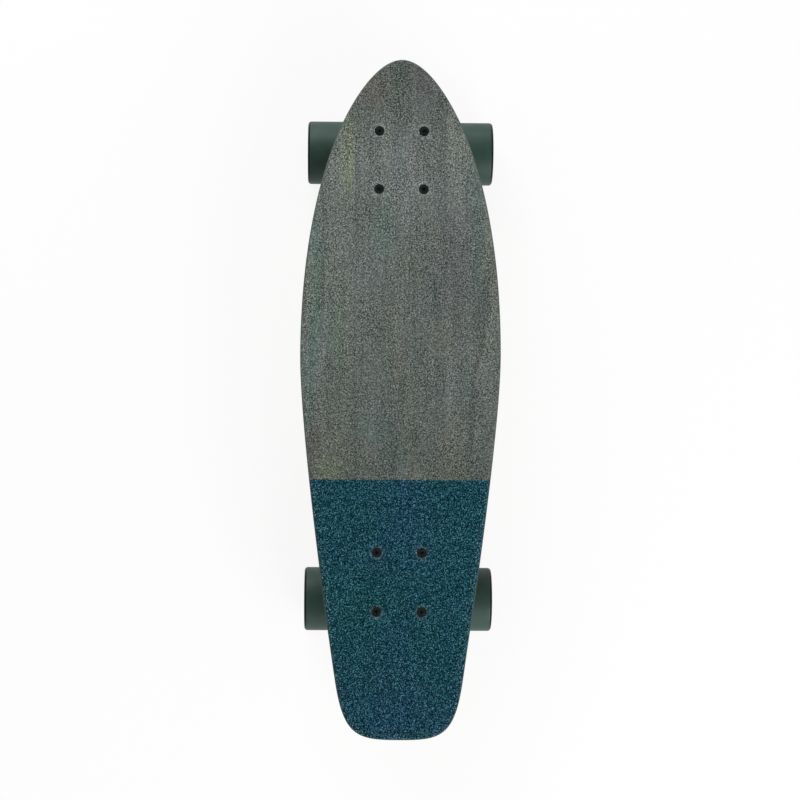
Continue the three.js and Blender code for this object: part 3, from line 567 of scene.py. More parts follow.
veneer = stained.toned(veneer, stained.ramp(up_the_deck, (0.0, 0.82), (0.22, 0.94), (0.46, 0.99),
                                            (0.62, 1.09), (0.75, 1.24), (0.87, 0.97), (1.0, 0.84)))
veneer = stained.toned(veneer, stained.ramp(fibre, (0.34, 0.80), (0.64, 1.12)), strength=0.6)
front_bolt_axes, rear_bolt_axes = bolt_axes[:4], bolt_axes[4:]
grain_cells, clump_cells, fleck_cells, cell_relief = 1150.0, 640.0, 700.0, -0.00015
grit, clumps = stained.cells(grain_cells), stained.cells(clump_cells)
veneer = stained.toned(veneer, stained.ramp(grit["Color"], (0.12, 0.40), (0.5, 0.82), (0.88, 1.5)))
clumped = stained.ramp(clumps["Distance"], (0.10, 1.64), (0.32, 0.98), (0.60, 0.40))
spray = stained.ramp(stained.noise((42, 26, 1), detail=3.0, shift=(2.7, 7.1, 0)), (0.38, 0.55), (0.58, 1.0))
veneer = stained.mixed(spray, veneer, stained.toned(veneer, clumped))
crumble_fineness, pale_amount, chipped_amount = (420, 420, 1), 0.6, 0.9
pale_reach, chipped_reach, pale_tone = (0.0078, 0.0078), (0.0062, 0.0062), (1.60, 1.60, 1.60)
crumbling = stained.wandering(crumble_fineness, pale_amount)
for axis in front_bolt_axes:
    rubbed = stained.stain(crumbling, axis, pale_reach)
    veneer = stained.mixed(rubbed, veneer, stained.toned(veneer, pale_tone))
stained.coloured(veneer)
stained.roughened(grit["Color"], least=0.50, most=0.80)
stained.bumped(grit["Distance"], cell_relief)

painted = Finish("teal_paint_under_grit", Specular_IOR_Level=0.03)
drift = painted.noise((14, 9, 1), detail=3.0, shift=(1.3, 0, 0))
chips, flecks = painted.cells(grain_cells), painted.cells(fleck_cells)
paint = painted.ramp(drift, (0.36, (0.0115, 0.071, 0.079)), (0.52, (0.0130, 0.072, 0.097)),
                     (0.68, (0.0145, 0.066, 0.106)))
paint = painted.toned(paint, painted.ramp(chips["Color"], (0.12, (0.0, 0.18, 0.20)),
                                          (0.5, (0.40, 0.66, 0.68)), (0.88, (4.0, 2.5, 2.4))))
paint = painted.toned(paint, painted.ramp(flecks["Distance"], (0.08, (3.1, 2.3, 2.2)),
                                          (0.32, (0.90, 0.96, 0.98)), (0.58, (0.12, 0.30, 0.32))))
# Near the rim the paint turns lighter and greyer: partly wear, partly a painted sheen on the rounded
# shoulder.
paint = painted.mixed(painted.attribute("rim_wear_and_painted_sheen"), paint, painted.toned(paint, (2.3, 1.18, 1.08)))
primer = painted.ramp(chips["Color"], (0.12, (0.014, 0.022, 0.028)), (0.5, (0.055, 0.082, 0.100)),
                      (0.88, (0.26, 0.34, 0.40)))
crumbling = painted.wandering(crumble_fineness, chipped_amount)
for axis in rear_bolt_axes:
    paint = painted.mixed(painted.stain(crumbling, axis, chipped_reach), paint, primer)
painted.coloured(paint)
painted.roughened(chips["Color"], least=0.48, most=0.78)
painted.bumped(chips["Distance"], cell_relief)


def crystal_finish(name, *stops, gloss):
    """Grains of the grit, each with a random tone of its own."""
    finish = Finish(name, Roughness=0.35, Specular_IOR_Level=gloss)
    finish.coloured(finish.ramp(finish.attribute("tone"), *stops))
    return finish


clear_grain = crystal_finish("clear_crystals", (0.0, (0.10, 0.108, 0.10)), (0.6, (0.21, 0.222, 0.205)),
                             (1.0, (0.42, 0.43, 0.40)), gloss=0.25)
painted_grain = crystal_finish("painted_crystals", (0.0, (0.014, 0.058, 0.075)),
                               (0.65, (0.040, 0.125, 0.150)), (1.0, (0.17, 0.30, 0.33)), gloss=0.1)

coat, grains = skinned(grit_rows()), grain_tree()
grip_holes = at_bolts(rod(grip_hole_radius, deck_top - overrun, grip_top + overrun, sides=40))
grit_looks = {
    "front": (1, stained, clear_grain, "grey_grip", 5),
    "rear": (-1, painted, painted_grain, "blue_grip", 8),
}
for end, (sign, under, over, slot, seed) in grit_looks.items():
    sheet = cut(halved(coat, sign), *grip_holes)
    skin = piece(f"grit_coat_{end}", sheet, [under], "root", slot, f"grip_{end}")
    skin_spots = np.array([vertex.co for vertex in skin.data.vertices])
    with_attribute(skin, "rim_wear_and_painted_sheen", np.clip(1 - from_edge(skin_spots) / rim_wear_and_sheen_reach, 0, 1))
    crystals = grown(sheet, grains, Density=grains_per_square_metre, Grain_Size=grain_size, Seed=seed,
                     Finish=over.material)
    piece(f"grit_crystals_{end}", crystals, [], "root", slot, smooth=False)


# Deck bolts: eight black countersunk machine screws with crossed recesses, each drawn up by a lock nut.
# They run through deck, riser and baseplate, four to a truck on the usual rectangle.
plate_thickness = 0.0055
mount_face = riser_low.z
bolt_nut_top = mount_face - plate_thickness
bolt_nut_width, bolt_nut_height, bolt_tail = 0.0095, 0.005, 0.002
bolt_pitch, thread_depth_share, thread_end_share, thread_rows = 0.0008, 0.5, 0.4, 6
nut_ease_share, nut_chamfer_share, nut_chamfer_fall = 0.04, 0.4925, math.tan(math.radians(30))
collar_share, collar_outside_share, collar_inside_share, collar_ease_share = 0.26, 0.45, 0.36, 0.06
head_edge, head_ease = 0.0003, 0.00025
recess_reach, recess_width, recess_depth = 0.0026, 0.00105, 0.0022
pit_foot, pit_mouth, pit_depth = 0.0007, 0.0013, 0.00253
hexagon_sides, fine_bite_share = 72, 0.95


def threaded(radius, pitch, low, high, sides=28):
    """A screw thread about Z, its ridge climbing one pitch a turn, with tapered ends."""
    rows = []
    for height in np.linspace(low, high, round((high - low) / pitch * thread_rows) + 1):
        ends = min(1, (height - low) / pitch, (high - height) / pitch)
        rows.append([])
        for step, (x, y, level) in enumerate(circle(1, height, sides)):
            ridge = 1 - abs(2 * ((height / pitch - step / sides) % 1) - 1)
            crest_share = ridge * (thread_end_share + (1 - thread_end_share) * ends)
            reach = radius - pitch * thread_depth_share * (1 - crest_share)
            rows[-1].append((reach * x, reach * y, level))
    return skinned(rows, capped=True)


def hexagon_rows(width, inner, fall, low, high):
    """Loops up a hexagon whose corners are chamfered at both ends, from a radius inside its flats."""
    rows = [[], [], [], []]
    for step, (x, y, _) in enumerate(circle(1, 0, hexagon_sides)):
        corner = 2 * math.pi * step / hexagon_sides % (math.pi / 3) - math.pi / 6
        reach = width / 2 / math.cos(corner)
        drop = (reach - inner) * fall
        outline = ((inner, low), (reach, low + drop), (reach, high - drop), (inner, high))
        for row, (radius, level) in zip(rows, outline):
            row.append((radius * x, radius * y, level))
    return rows


def eased(profile, radius, steps=3, ring=False):
    """A profile with its corners rounded, as a turned or moulded edge is."""
    count = len(profile)
    points = [Vector(point) for point in profile]
    result = []
    for index, point in enumerate(points):
        if not ring and index in (0, count - 1):
            result.append(tuple(point))
            continue
        before, after = points[index - 1] - point, points[(index + 1) % count] - point
        reach = min(radius, before.length / 2, after.length / 2)
        start, end = point + before.normalized() * reach, point + after.normalized() * reach
        for share in np.linspace(0, 1, steps + 1):
            result.append(tuple(start * (1 - share) ** 2 + point * 2 * share * (1 - share) + end * share**2))
    return result


def turned_ring(profile, ease, steps=3, sides=64):
    """A ring turned about Z, with the corners of its section eased."""
    return turned(eased(profile, ease, steps, ring=True), sides, ring=True)


def lock_nut(width, height, bore):
    """A chamfered hexagon, standing on Z zero, and the rolled collar that holds its nylon ring."""
    top, ease = height * (1 - collar_share), width * nut_ease_share
    rows = [circle(bore, ease, hexagon_sides), circle(bore + ease, 0, hexagon_sides)]
    rows += hexagon_rows(width, width * nut_chamfer_share, nut_chamfer_fall, 0, top)
    rows += [circle(bore, top, hexagon_sides)]
    outside, inside = width * collar_outside_share, width * collar_inside_share
    collar = [(bore, top), (outside, top), (outside, height - 2 * ease)]
    collar += [(inside, height), (inside - ease, height - ease), (bore, height - 2 * ease)]
    return joined(skinned(rows, ring=True), turned_ring(collar, width * collar_ease_share, sides=48))


def milled(shape, *cutters):
    """A shape with overlapping cutters taken out of it one after another."""
    for cutter in cutters:
        shape = cut(shape, cutter)
    return shape


blackened = Finish("black_oxide_steel", Metallic=0.75, Specular_IOR_Level=0.2)
mottle = blackened.noise(420.0, detail=4.0)
blackened.mottled(mottle, (0.010, 0.013, 0.013), (0.026, 0.033, 0.033), least=0.34, most=0.58, start=0.32)
blackened.bumped(blackened.noise(2600.0), depth=0.00003)

cone_foot = sink_rim - bolt_head_radius + bolt_radius
head = [(0, cone_foot), (bolt_radius, cone_foot), (bolt_head_radius, sink_rim - head_edge)]
head += [(bolt_head_radius, sink_rim), (0, sink_rim)]
blade = skinned([
    raised(rectangle(-reach, reach, -recess_width / 2, recess_width / 2), level)
    for reach, level in ((recess_reach / 2, sink_rim - recess_depth), (recess_reach, sink_rim + overrun))
], capped=True)
pit = [(0, sink_rim - pit_depth), (pit_foot, sink_rim - recess_depth), (pit_mouth, sink_rim + overrun)]
pit = turned([*pit, (0, sink_rim + overrun)], sides=32)
crossed_blade = moved(blade, Matrix.Rotation(math.pi / 2, 4, "Z"))
bolt = milled(turned(eased(head, head_ease), sides=48), blade, crossed_blade, pit)
shank = rod(bolt_radius, bolt_nut_top - bolt_tail, cone_foot, sides=28)
thread = threaded(bolt_radius, bolt_pitch, bolt_nut_top - bolt_nut_height - bolt_tail,
                  bolt_nut_top - bolt_tail + overrun)
upside_down = Matrix.Rotation(math.pi, 4, "X")
nut = moved(lock_nut(bolt_nut_width, bolt_nut_height, bolt_radius * fine_bite_share),
            Matrix.Translation((0, 0, bolt_nut_top)) @ upside_down)
bolt_pattern = bare_object("bolt_pattern_unit", joined(bolt, shank, thread, nut))


def bolt_tree():
    """Sets a bolt on each corner of the bolt rectangle over each truck."""
    sizes = dict.fromkeys(("Across", "Along", "Front_Truck", "Rear_Truck"), "Float")
    tree, given = new_tree("deck_bolt_pattern", **sizes, Bolt="Object", Finish="Material")
    corners = step_in(tree, "GeometryNodeMeshGrid", given["Across"], given["Along"], 2, 2)["Mesh"]
    both = tree.nodes.new("GeometryNodeJoinGeometry")
    for label in ("Rear Truck", "Front Truck"):
        place = step_in(tree, "ShaderNodeCombineXYZ", Y=given[label])[0]
        half = step_in(tree, "GeometryNodeTransform", corners, Translation=place)[0]
        tree.links.new(half, both.inputs[0])
    unit = step_in(tree, "GeometryNodeObjectInfo", given["Bolt"])["Geometry"]
    copies = step_in(tree, "GeometryNodeInstanceOnPoints", both.outputs[0], Instance=unit)[0]
    return planted(tree, copies, given["Finish"])


bolts = grown(bmesh.new(), bolt_tree(), Across=bolt_spacing_across, Along=bolt_spacing_along,
              Front_Truck=truck_ahead["front"], Rear_Truck=truck_ahead["rear"], Bolt=bolt_pattern,
              Finish=blackened.material)
bpy.data.objects.remove(bolt_pattern)
bolt_nodes = [f"{end}_deck_bolt_{number}" for end in truck_ahead for number in range(1, 5)]
piece("deck_bolts", bolts, [], "root", "black_steel", *bolt_nodes)


# Riser pads: moulded rubber plates between deck and baseplates, with rounded corners and four holes.
# They lift the deck clear of the wheels and soften the road.
plate_half_width, plate_corner = riser_high.x, 0.007
plate_half_length = (riser_high.y - riser_low.y) / 2
riser_thickness, pad_ease = riser_high.z - riser_low.z, 0.0004
truck_frames = {
    end: Matrix.Translation((0, ahead, mount_face)) @ Matrix.Rotation(turn, 4, "Z")
    for (end, ahead), turn in zip(truck_ahead.items(), (0, math.pi))
}


def plate_outline(waist, inset, steps=8):
    """A rounded rectangle whose long sides draw in between the bolts by the waist."""
    x, y, r = plate_half_width - inset, plate_half_length - inset, plate_corner - inset
    points = []
    for quarter, (side, end) in enumerate(((1, 1), (-1, 1), (-1, -1), (1, -1))):
        points += arc((side * (x - r), end * (y - r)), r, quarter * 90, quarter * 90 + 90, steps)
        if quarter in (1, 3):
            for share in np.linspace(0, 1, 2 * steps + 1)[1:-1]:
                drawn_in = waist * 4 * share * (1 - share)
                points.append((side * (x - drawn_in), end * (y - r) * (1 - 2 * share)))
    return points


def plate(waist, low, high, ease):
    """A flat plate with its top and bottom edges eased."""
    levels = ((ease, low), (0, low + ease), (0, high - ease), (ease, high))
    return skinned([raised(plate_outline(waist, inset), level) for inset, level in levels], capped=True)


def drilled(shape, low, high):
    """A plate with the truck's four bolt holes through it."""
    return cut(shape, *at_bolts(rod(hole, low - overrun, high + overrun, sides=32), bolt_corners))


rubber = Finish("riser_rubber")
rubber.mottled(rubber.noise(160.0, detail=4.0), (0.011, 0.012, 0.013), (0.022, 0.024, 0.025),
               least=0.68, most=0.86)
rubber.bumped(rubber.noise(1800.0), depth=0.00008)

pad = drilled(plate(0, 0, riser_thickness, pad_ease), 0, riser_thickness)
for end, place in truck_frames.items():
    piece(f"riser_pad_{end}", moved(pad, place), [rubber], "root", "riser_rubber", f"riser_{end}")


# Baseplates: sand-cast and tumbled aluminium, with a kingpin boss, a pivot boss and a spine between them.
# The bolt holes, the boss face, the kingpin's bore and the cup's pocket are machined after casting.
kingpin_lean = math.radians(20)
kingpin_up = Vector((0, math.sin(kingpin_lean), math.cos(kingpin_lean)))
boss_foot, pivot_ball = Vector((0, -0.0048, -0.015)), Vector((0, 0.027, -0.0115))
boss_radius, boss_draft, boss_depth = 0.0135, 0.0015, 0.015
seat_gap, seat_half = 0.00005, 0.0035
board_bushing_height, washer_thickness = 0.013, 0.0015
board_stack = seat_half + board_bushing_height + washer_thickness + 3 * seat_gap
yoke_middle = boss_foot - kingpin_up * board_stack
steer_out = (pivot_ball - yoke_middle).normalized()
kingpin_radius = 0.00475
head_width, head_height, head_sink, head_clearance = 0.014, 0.0055, 0.0012, 0.0004
head_corner = head_width / math.sqrt(3)
head_top = (boss_depth - head_sink - head_corner * math.sin(kingpin_lean)) / math.cos(kingpin_lean)
head_seat = head_top - head_height
ball_radius, pivot_gap, cup_wall = 0.0048, 0.0003, 0.0016
pocket_radius = ball_radius + pivot_gap + cup_wall + pivot_gap
pivot_wall, pivot_end_wall, boss_mouth, boss_ease = 0.0032, 0.002, 0.005, 0.003
plate_waist, plate_ease, spine_width, spine_depth = 0.0035, 0.0006, 0.009, 0.0035
casting_voxel, skim, mill = 0.0006, 0.0004, 0.003
casting_smoothing, base_softening = 0.5, 6


def prism(outline, low, high):
    """A flat outline given a thickness."""
    return skinned([raised(outline, low), raised(outline, high)], capped=True)


def block(low, high):
    """A plain box between two corners."""
    (left, aft, foot), (right, fore, top) = low, high
    return prism(rectangle(left, right, aft, fore), foot, top)


def aimed(origin, direction):
    """The move that sets a turned shape's axis on a point and along a direction."""
    return Matrix.Translation(origin) @ Vector(direction).to_track_quat("Z", "Y").to_matrix().to_4x4()


def cast(softening, *shapes):
    """Shapes fused into one, with a casting's soft edges and filled corners."""
    thing = bare_object("pattern", joined(*shapes))
    fuse = thing.modifiers.new("fuse", "REMESH")
    fuse.mode, fuse.voxel_size = "VOXEL", casting_voxel
    soften = thing.modifiers.new("soften", "SMOOTH")
    soften.factor, soften.iterations = casting_smoothing, softening
    return settled(thing)


def drills(line, *bars):
    """Round cutters along one line, each from its radius and its two ends."""
    return [moved(rod(*bar), line) for bar in bars]


def on_trucks(label, shape, finish, slot, node, steers=False):
    """The same piece on both trucks, riding on the deck or on its hanger."""
    for end, place in truck_frames.items():
        body = f"{end}_truck" if steers else "root"
        piece(f"{end}_{label}", moved(shape, place), [finish], body, slot, f"{end}_{node}")


aluminium = Finish("tumbled_cast_aluminium", Metallic=1.0)
sand, stain = aluminium.noise(1500.0, detail=3.0), aluminium.noise(38.0, detail=3.0)
pitting = aluminium.noise(240.0, detail=5.0)
cast_tone = aluminium.ramp(stain, (0.32, (0.36, 0.365, 0.37)), (0.68, (0.47, 0.475, 0.48)))
pits = aluminium.ramp(pitting, (0.34, 0.62), (0.56, 1.0))
aluminium.coloured(aluminium.toned(cast_tone, pits, strength=0.35))
aluminium.roughened(pitting, least=0.34, most=0.54)
aluminium.bumped(sand, depth=0.00008)

far_up = (boss_depth + boss_radius) / math.cos(kingpin_lean)
pivot_outside, pivot_top = pocket_radius + pivot_wall, pocket_radius + pivot_end_wall
kingpin_boss = [(0, -skim), (boss_radius, -skim), (boss_radius + boss_draft, far_up), (0, far_up)]
pivot_boss = [(0, -boss_mouth - skim), (pivot_outside, -boss_mouth - skim), (pivot_outside, pivot_top)]
pivot_boss = eased([*pivot_boss, (0, pivot_top)], boss_ease)
spine = (-spine_width / 2, boss_foot.y, -plate_thickness - spine_depth), (spine_width / 2, pivot_ball.y, 0)
on_kingpin, on_pivot = aimed(boss_foot, kingpin_up), aimed(pivot_ball, steer_out)
bosses = moved(turned(kingpin_boss), on_kingpin), moved(turned(pivot_boss), on_pivot)
rough_plate = plate(plate_waist, -plate_thickness, skim, plate_ease)
rough_base = cast(base_softening, rough_plate, *bosses, block(*spine))
base = milled(
    rough_base,
    block((-half_width, -half_width, 0), (half_width, half_width, half_width)),
    *drills(on_kingpin, (boss_radius * 2, -mill, 0), (kingpin_radius + seat_gap, -mill, far_up),
            (head_corner + head_clearance, head_seat, far_up)),
    *drills(on_pivot, (pocket_radius * 2, -boss_mouth - mill, -boss_mouth),
            (pocket_radius, -boss_mouth - mill, pocket_radius)),
)
on_trucks("cast_baseplate", drilled(base, -plate_thickness, 0), aluminium, "cast_truck", "baseplate")


# Pivot cups: small cups moulded in black urethane, one pressed into each baseplate's pocket.
# The ball at the end of the hanger's horn turns in them.
cup_mouth, cup_edge, cup_crown = 0.004, 0.0003, 0.0008
cup_inside, cup_outside = ball_radius + pivot_gap, ball_radius + pivot_gap + cup_wall

moulded = Finish("moulded_black_urethane")
cloud = moulded.noise(300.0, detail=3.0)
moulded.mottled(cloud, (0.008, 0.009, 0.010), (0.016, 0.017, 0.019), least=0.42, most=0.60)
moulded.bumped(cloud, depth=0.00004)

cup = arc((0, 0), cup_inside, 90, 0, steps=10)
cup += [(cup_inside + cup_edge, -cup_mouth), (cup_outside - cup_edge, -cup_mouth)]
cup += [(cup_outside, -cup_mouth + cup_edge), (cup_outside, cup_outside - cup_crown)]
cup += [(cup_outside - cup_crown, cup_outside), (0, cup_outside)]
on_trucks("moulded_pivot_cup", moved(turned(cup), on_pivot), moulded, "cup_plastic", "pivot_cup")


# Kingpin lines: a zinc-plated bolt leaning through the truck, with cupped washers and a lock nut.
# It squeezes a barrel bushing and a cone bushing, both cast in urethane, against the hanger's yoke.
kingpin_nut_width, kingpin_nut_height, kingpin_tail, kingpin_pitch = 0.0143, 0.007, 0.0015, 0.00106
kingpin_head_ease, kingpin_head_fall, coarse_bite_share = 0.0007, 0.5, 0.96
bushing_radius, bushing_end, bushing_bevel, bushing_ease = 0.012, 0.0112, 0.002, 0.0011
road_bushing_end, road_bushing_height, bushing_neck, bushing_neck_height = 0.0086, 0.0095, 0.0065, 0.0026
washer_lip, washer_lip_wall, washer_ease, shank_gap = 0.0016, 0.0012, 0.0009, 0.0003
bend_rings = 10
bushing_bore = kingpin_radius + shank_gap
board_seat, road_seat = seat_half + seat_gap, -seat_half - seat_gap
board_top, road_bottom = board_seat + board_bushing_height, road_seat - road_bushing_height
board_washer, road_washer = board_top + seat_gap, road_bottom - seat_gap
nut_face = road_washer - washer_thickness - seat_gap
across, yoke_out = Vector((1, 0, 0)), Vector((0, math.cos(kingpin_lean), -math.sin(kingpin_lean)))


def framed(origin, x, y, z):
    """The move from a frame with the given axes."""
    return Matrix.Translation(origin) @ Matrix((x, y, z)).transposed().to_4x4()


line_frame = framed(yoke_middle, across, yoke_out, kingpin_up)

zinc = Finish("zinc_plated_steel", Metallic=1.0)
zinc.mottled(zinc.noise(260.0, detail=4.0), (0.50, 0.51, 0.52), (0.66, 0.67, 0.67), least=0.22, most=0.38)
zinc.bumped(zinc.noise(2600.0), depth=0.000015)

scattering = (0.002, 0.004, 0.004)
urethane_spring = Finish("cast_teal_bushing", Subsurface_Weight=0.15, Subsurface_Radius=scattering)
swirl = urethane_spring.noise(90.0, detail=3.0, bend=1.2)
urethane_spring.mottled(swirl, (0.045, 0.145, 0.175), (0.060, 0.185, 0.215), least=0.28, most=0.42)
urethane_spring.bumped(urethane_spring.noise(1400.0), depth=0.00002)

thread_top = nut_face - kingpin_nut_height + 2 * kingpin_pitch
kingpin = joined(
    rod(kingpin_radius, thread_top - kingpin_pitch, board_stack + head_seat + overrun),
    threaded(kingpin_radius, kingpin_pitch, nut_face - kingpin_nut_height - kingpin_tail, thread_top,
             sides=40),
    skinned(hexagon_rows(head_width, head_width / 2 - kingpin_head_ease, kingpin_head_fall,
                         board_stack + head_seat, board_stack + head_top), capped=True),
)
kingpin_nut = lock_nut(kingpin_nut_width, kingpin_nut_height, kingpin_radius * coarse_bite_share)
nut_place = line_frame @ Matrix.Translation((0, 0, nut_face)) @ upside_down
on_trucks("plated_kingpin", moved(kingpin, line_frame), zinc, "plated_steel", "kingpin")
on_trucks("kingpin_lock_nut", moved(kingpin_nut, nut_place), blackened, "black_steel", "kingpin_nut")


def cupped_washer(end_radius, widening, face, towards):
    """A pressed washer from its flat face, its lip turned back round a bushing's end."""
    held = min(washer_lip / widening, 1)
    inside = end_radius + (bushing_radius - end_radius) * held + shank_gap
    outside = inside + washer_lip_wall
    top, lip = face + washer_thickness * towards, face + (washer_thickness + washer_lip) * towards
    profile = [(bushing_bore, face), (outside, face), (outside, lip), (inside, lip), (inside, top)]
    return moved(turned_ring([*profile, (bushing_bore, top)], washer_ease, steps=4), line_frame)


def bushing(profile, low, high):
    """A cast urethane spring about the kingpin, with rings of points along its length."""
    shape = turned_ring(profile, bushing_ease, steps=4)
    for share in np.linspace(0, 1, bend_rings + 1)[1:-1]:
        split(shape, (0, 0, low + (high - low) * share), (0, 0, 1))
    return moved(shape, line_frame), Vector((0, 0, low)), Vector((0, 0, high))


road_taper = road_bushing_height - bushing_bevel
washers = {
    "board": cupped_washer(bushing_end, bushing_bevel, board_washer + washer_thickness, -1),
    "road": cupped_washer(road_bushing_end, road_taper, road_washer - washer_thickness, 1),
}
for which, washer in washers.items():
    on_trucks(f"cupped_washer_{which}", washer, zinc, "plated_steel", f"washer_{which}")

board_neck, road_neck = board_seat - bushing_neck_height, road_seat + bushing_neck_height
barrel = [(bushing_bore, board_neck), (bushing_neck, board_neck), (bushing_neck, board_seat)]
barrel += [(bushing_end, board_seat), (bushing_radius, board_seat + bushing_bevel)]
barrel += [(bushing_radius, board_top - bushing_bevel), (bushing_end, board_top), (bushing_bore, board_top)]
cone = [(bushing_bore, road_bottom), (road_bushing_end, road_bottom)]
cone += [(bushing_radius, road_seat - bushing_bevel), (bushing_end, road_seat), (bushing_neck, road_seat)]
cone += [(bushing_neck, road_neck), (bushing_bore, road_neck)]
bushings = {"board": bushing(barrel, board_top, board_seat), "road": bushing(cone, road_bottom, road_seat)}
for end, place in truck_frames.items():
    for which, (spring, fixed, seat) in bushings.items():
        soft = piece(f"{end}_urethane_bushing_{which}", moved(spring, place), [urethane_spring], None,
                     "bushing_urethane", f"{end}_bushing_{which}")
        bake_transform(soft)


# Hangers: the other casting, with the axle beam, the yoke round the kingpin and the horn up to the pivot.
# The axle's bore, the beam's ends, the kingpin's hole and both bushing seats are machined.
hanger_half, beam_collar, beam_ease = 0.052, 0.008, 0.0012
beam_end_radius, beam_middle_radius, beam_middle_half = 0.0095, 0.0125, 0.015
yoke_half, yoke_radius, yoke_hole, yoke_spread_half = 0.005, 0.017, 0.007, 0.033
seat_clearance, flare_points, hanger_softening = 0.0004, 16, 9
horn_half, horn_above, horn_clear = 0.006, 0.008, 0.003
pivot_root_radius, pivot_neck_radius = 0.0056, 0.0039
rib_half, rib_depth, rib_side = 0.00175, 0.007, 0.011
axle_middle, axle_radius = Vector((0, 0.017, -0.050)), 0.004
on_axle, on_yoke = aimed(axle_middle, across), aimed(yoke_middle, kingpin_up)
web_frame = framed(yoke_middle, yoke_out, kingpin_up, across)


def mirrored(profile):
    """A profile with its mirror image below it."""
    return [(radius, -height) for radius, height in reversed(profile)] + list(profile)


def in_yoke(point):
    """A point of the truck's middle plane as distances outward and up the kingpin."""
    away = point - yoke_middle
    return Vector((away.dot(yoke_out), away.dot(kingpin_up)))


axle_spot, ball_spot = in_yoke(axle_middle), in_yoke(pivot_ball)
taper = hanger_half - beam_collar
beam = [(beam_middle_radius, beam_middle_half), (beam_end_radius, taper), (beam_end_radius, hanger_half)]
beam = moved(turned(eased(mirrored([*beam, (0, hanger_half)]), beam_ease)), on_axle)

reach = axle_spot.x
sweep = (yoke_radius, 0), (yoke_radius, reach / 2), (yoke_spread_half - yoke_radius / 2, reach / 2)
flare = bezier((*sweep, (yoke_spread_half, reach)), np.linspace(0, 1, flare_points))[0].tolist()
yoke = [(-x, y) for x, y in reversed(flare)] + arc((0, 0), yoke_radius, 180, 360, steps=27)[1:-1] + flare
yoke = moved(prism(yoke, -yoke_half, yoke_half), line_frame)

axis = ball_spot.normalized()
aside = Vector((-axis.y, axis.x)) * pivot_root_radius
root = ball_spot - axis * horn_above
horn_inner = bushing_radius + shank_gap + washer_lip_wall + horn_clear
crest = (root - aside + axle_spot) / 2 + Vector((0, horn_above / 2))
horn = [root + aside, (horn_inner, board_washer - washer_lip), (horn_inner, 0), axle_spot]
horn += [axle_spot + Vector((beam_middle_radius, beam_middle_radius)) / 2, crest, root - aside]
horn = moved(prism(horn, -horn_half, horn_half), web_frame)

rib_inner = road_bushing_end + washer_lip_wall + horn_clear
rib = [(rib_inner, 0), (rib_inner, -yoke_half), (reach - rib_depth, -yoke_half - rib_depth)]
rib += [axle_spot, (reach, 0)]
rib = moved(prism(rib, -rib_half, rib_half), web_frame)
ribs = [moved(rib, Matrix.Translation((side * rib_side, 0, 0))) for side in (-1, 1)]

neck = math.sqrt(ball_radius**2 - pivot_neck_radius**2)
stem = arc((0, -horn_above), pivot_root_radius, -90, 0, steps=9)
stem += [(pivot_neck_radius, -neck), *arc((0, 0), ball_radius, 0, 90, steps=10)]
rough_hanger = cast(hanger_softening, beam, yoke, horn, moved(turned(stem), on_pivot), *ribs)
seat_radius, clear = bushing_radius + seat_clearance, yoke_half * 2
hanger = milled(
    rough_hanger,
    *drills(on_axle, (axle_radius + seat_gap, -hanger_half * 2, hanger_half * 2)),
    *drills(on_yoke, (yoke_hole, -clear, clear), (seat_radius, seat_half, clear),
            (seat_radius, -clear, -seat_half)),
)
on_trucks("cast_hanger", hanger, aluminium, "cast_truck", "hanger", steers=True)


# Axles: one ground steel bar pressed through each hanger.
# Both ends are threaded for a flanged lock nut that holds the wheel.
axle_pitch, axle_nut_width, axle_nut_height, axle_tail = 0.00106, 0.013, 0.0065, 0.001
speed_washer, bearing_width, spacer_length = 0.001, 0.007, 0.010
sleeve_length = 2 * speed_washer + 2 * bearing_width + spacer_length
axle_nut_face = hanger_half + sleeve_length
axle_end = axle_nut_face + axle_nut_height + axle_tail
thread_start = axle_nut_face + axle_nut_height / 2

bar = rod(axle_radius, -thread_start - overrun, thread_start + overrun)
axle_thread = threaded(axle_radius, axle_pitch, thread_start, axle_end, sides=36)
axle = moved(joined(bar, axle_thread, moved(axle_thread, upside_down)), on_axle)
on_trucks("ground_axle", axle, zinc, "plated_steel", "axle", steers=True)
axle_nut = moved(lock_nut(axle_nut_width, axle_nut_height, axle_radius * coarse_bite_share),
                 Matrix.Translation((0, 0, axle_nut_face)))
wheel_places = {}
for (end, place), facing in zip(truck_frames.items(), (1, -1)):
    for label, side in (("left", -facing), ("right", facing)):
        outward = place @ framed(axle_middle, (0, 1, 0), (0, 0, side), (side, 0, 0))
        piece(f"{end}_axle_lock_nut_{label}", moved(axle_nut, outward), [blackened], f"{end}_truck",
              "black_steel", f"{end}_axle_nut_{label}")
        wheel_places[end, label] = outward @ Matrix.Translation((0, 0, hanger_half + sleeve_length / 2))


# Axle sleeves: what each axle nut clamps, all of it ground steel that doesn't turn.
# Two thin washers, two inner races and the spacer between them slide onto the axle in one stack.
race_radius, spacer_radius, washer_groove, collar_ease = 0.006, 0.0053, 0.00015, 0.00025
axle_bore = axle_radius + seat_gap
shoulder, race_end = spacer_length / 2, spacer_length / 2 + bearing_width


def collar(outer, *ends):
    """A short tube on the axle with broken edges, a hair short of its neighbours."""
    section = rectangle(axle_bore, outer, min(ends) + seat_gap / 4, max(ends) - seat_gap / 4)
    return turned_ring(section, collar_ease, steps=2, sides=48)


def on_wheels(label, shape, finishes, slot, node, turns=True):
    """The same piece in all four wheels, turning with the wheel or held on the axle."""
    for (end, side), place in wheel_places.items():
        body = f"{end}_{side}_wheel" if turns else f"{end}_truck"
        piece(f"{end}_{side}_{label}", moved(shape, place), finishes, body, slot, f"{end}_{side}_{node}")


sleeve = [collar(spacer_radius, -shoulder, shoulder)]
for sign in (-1, 1):
    sleeve.append(collar(race_radius, sign * shoulder, sign * race_end))
    sleeve.append(collar(race_radius - washer_groove, sign * race_end, sign * sleeve_length / 2))
on_wheels("clamped_sleeve", joined(*sleeve), [zinc], "plated_steel", "sleeve", turns=False)


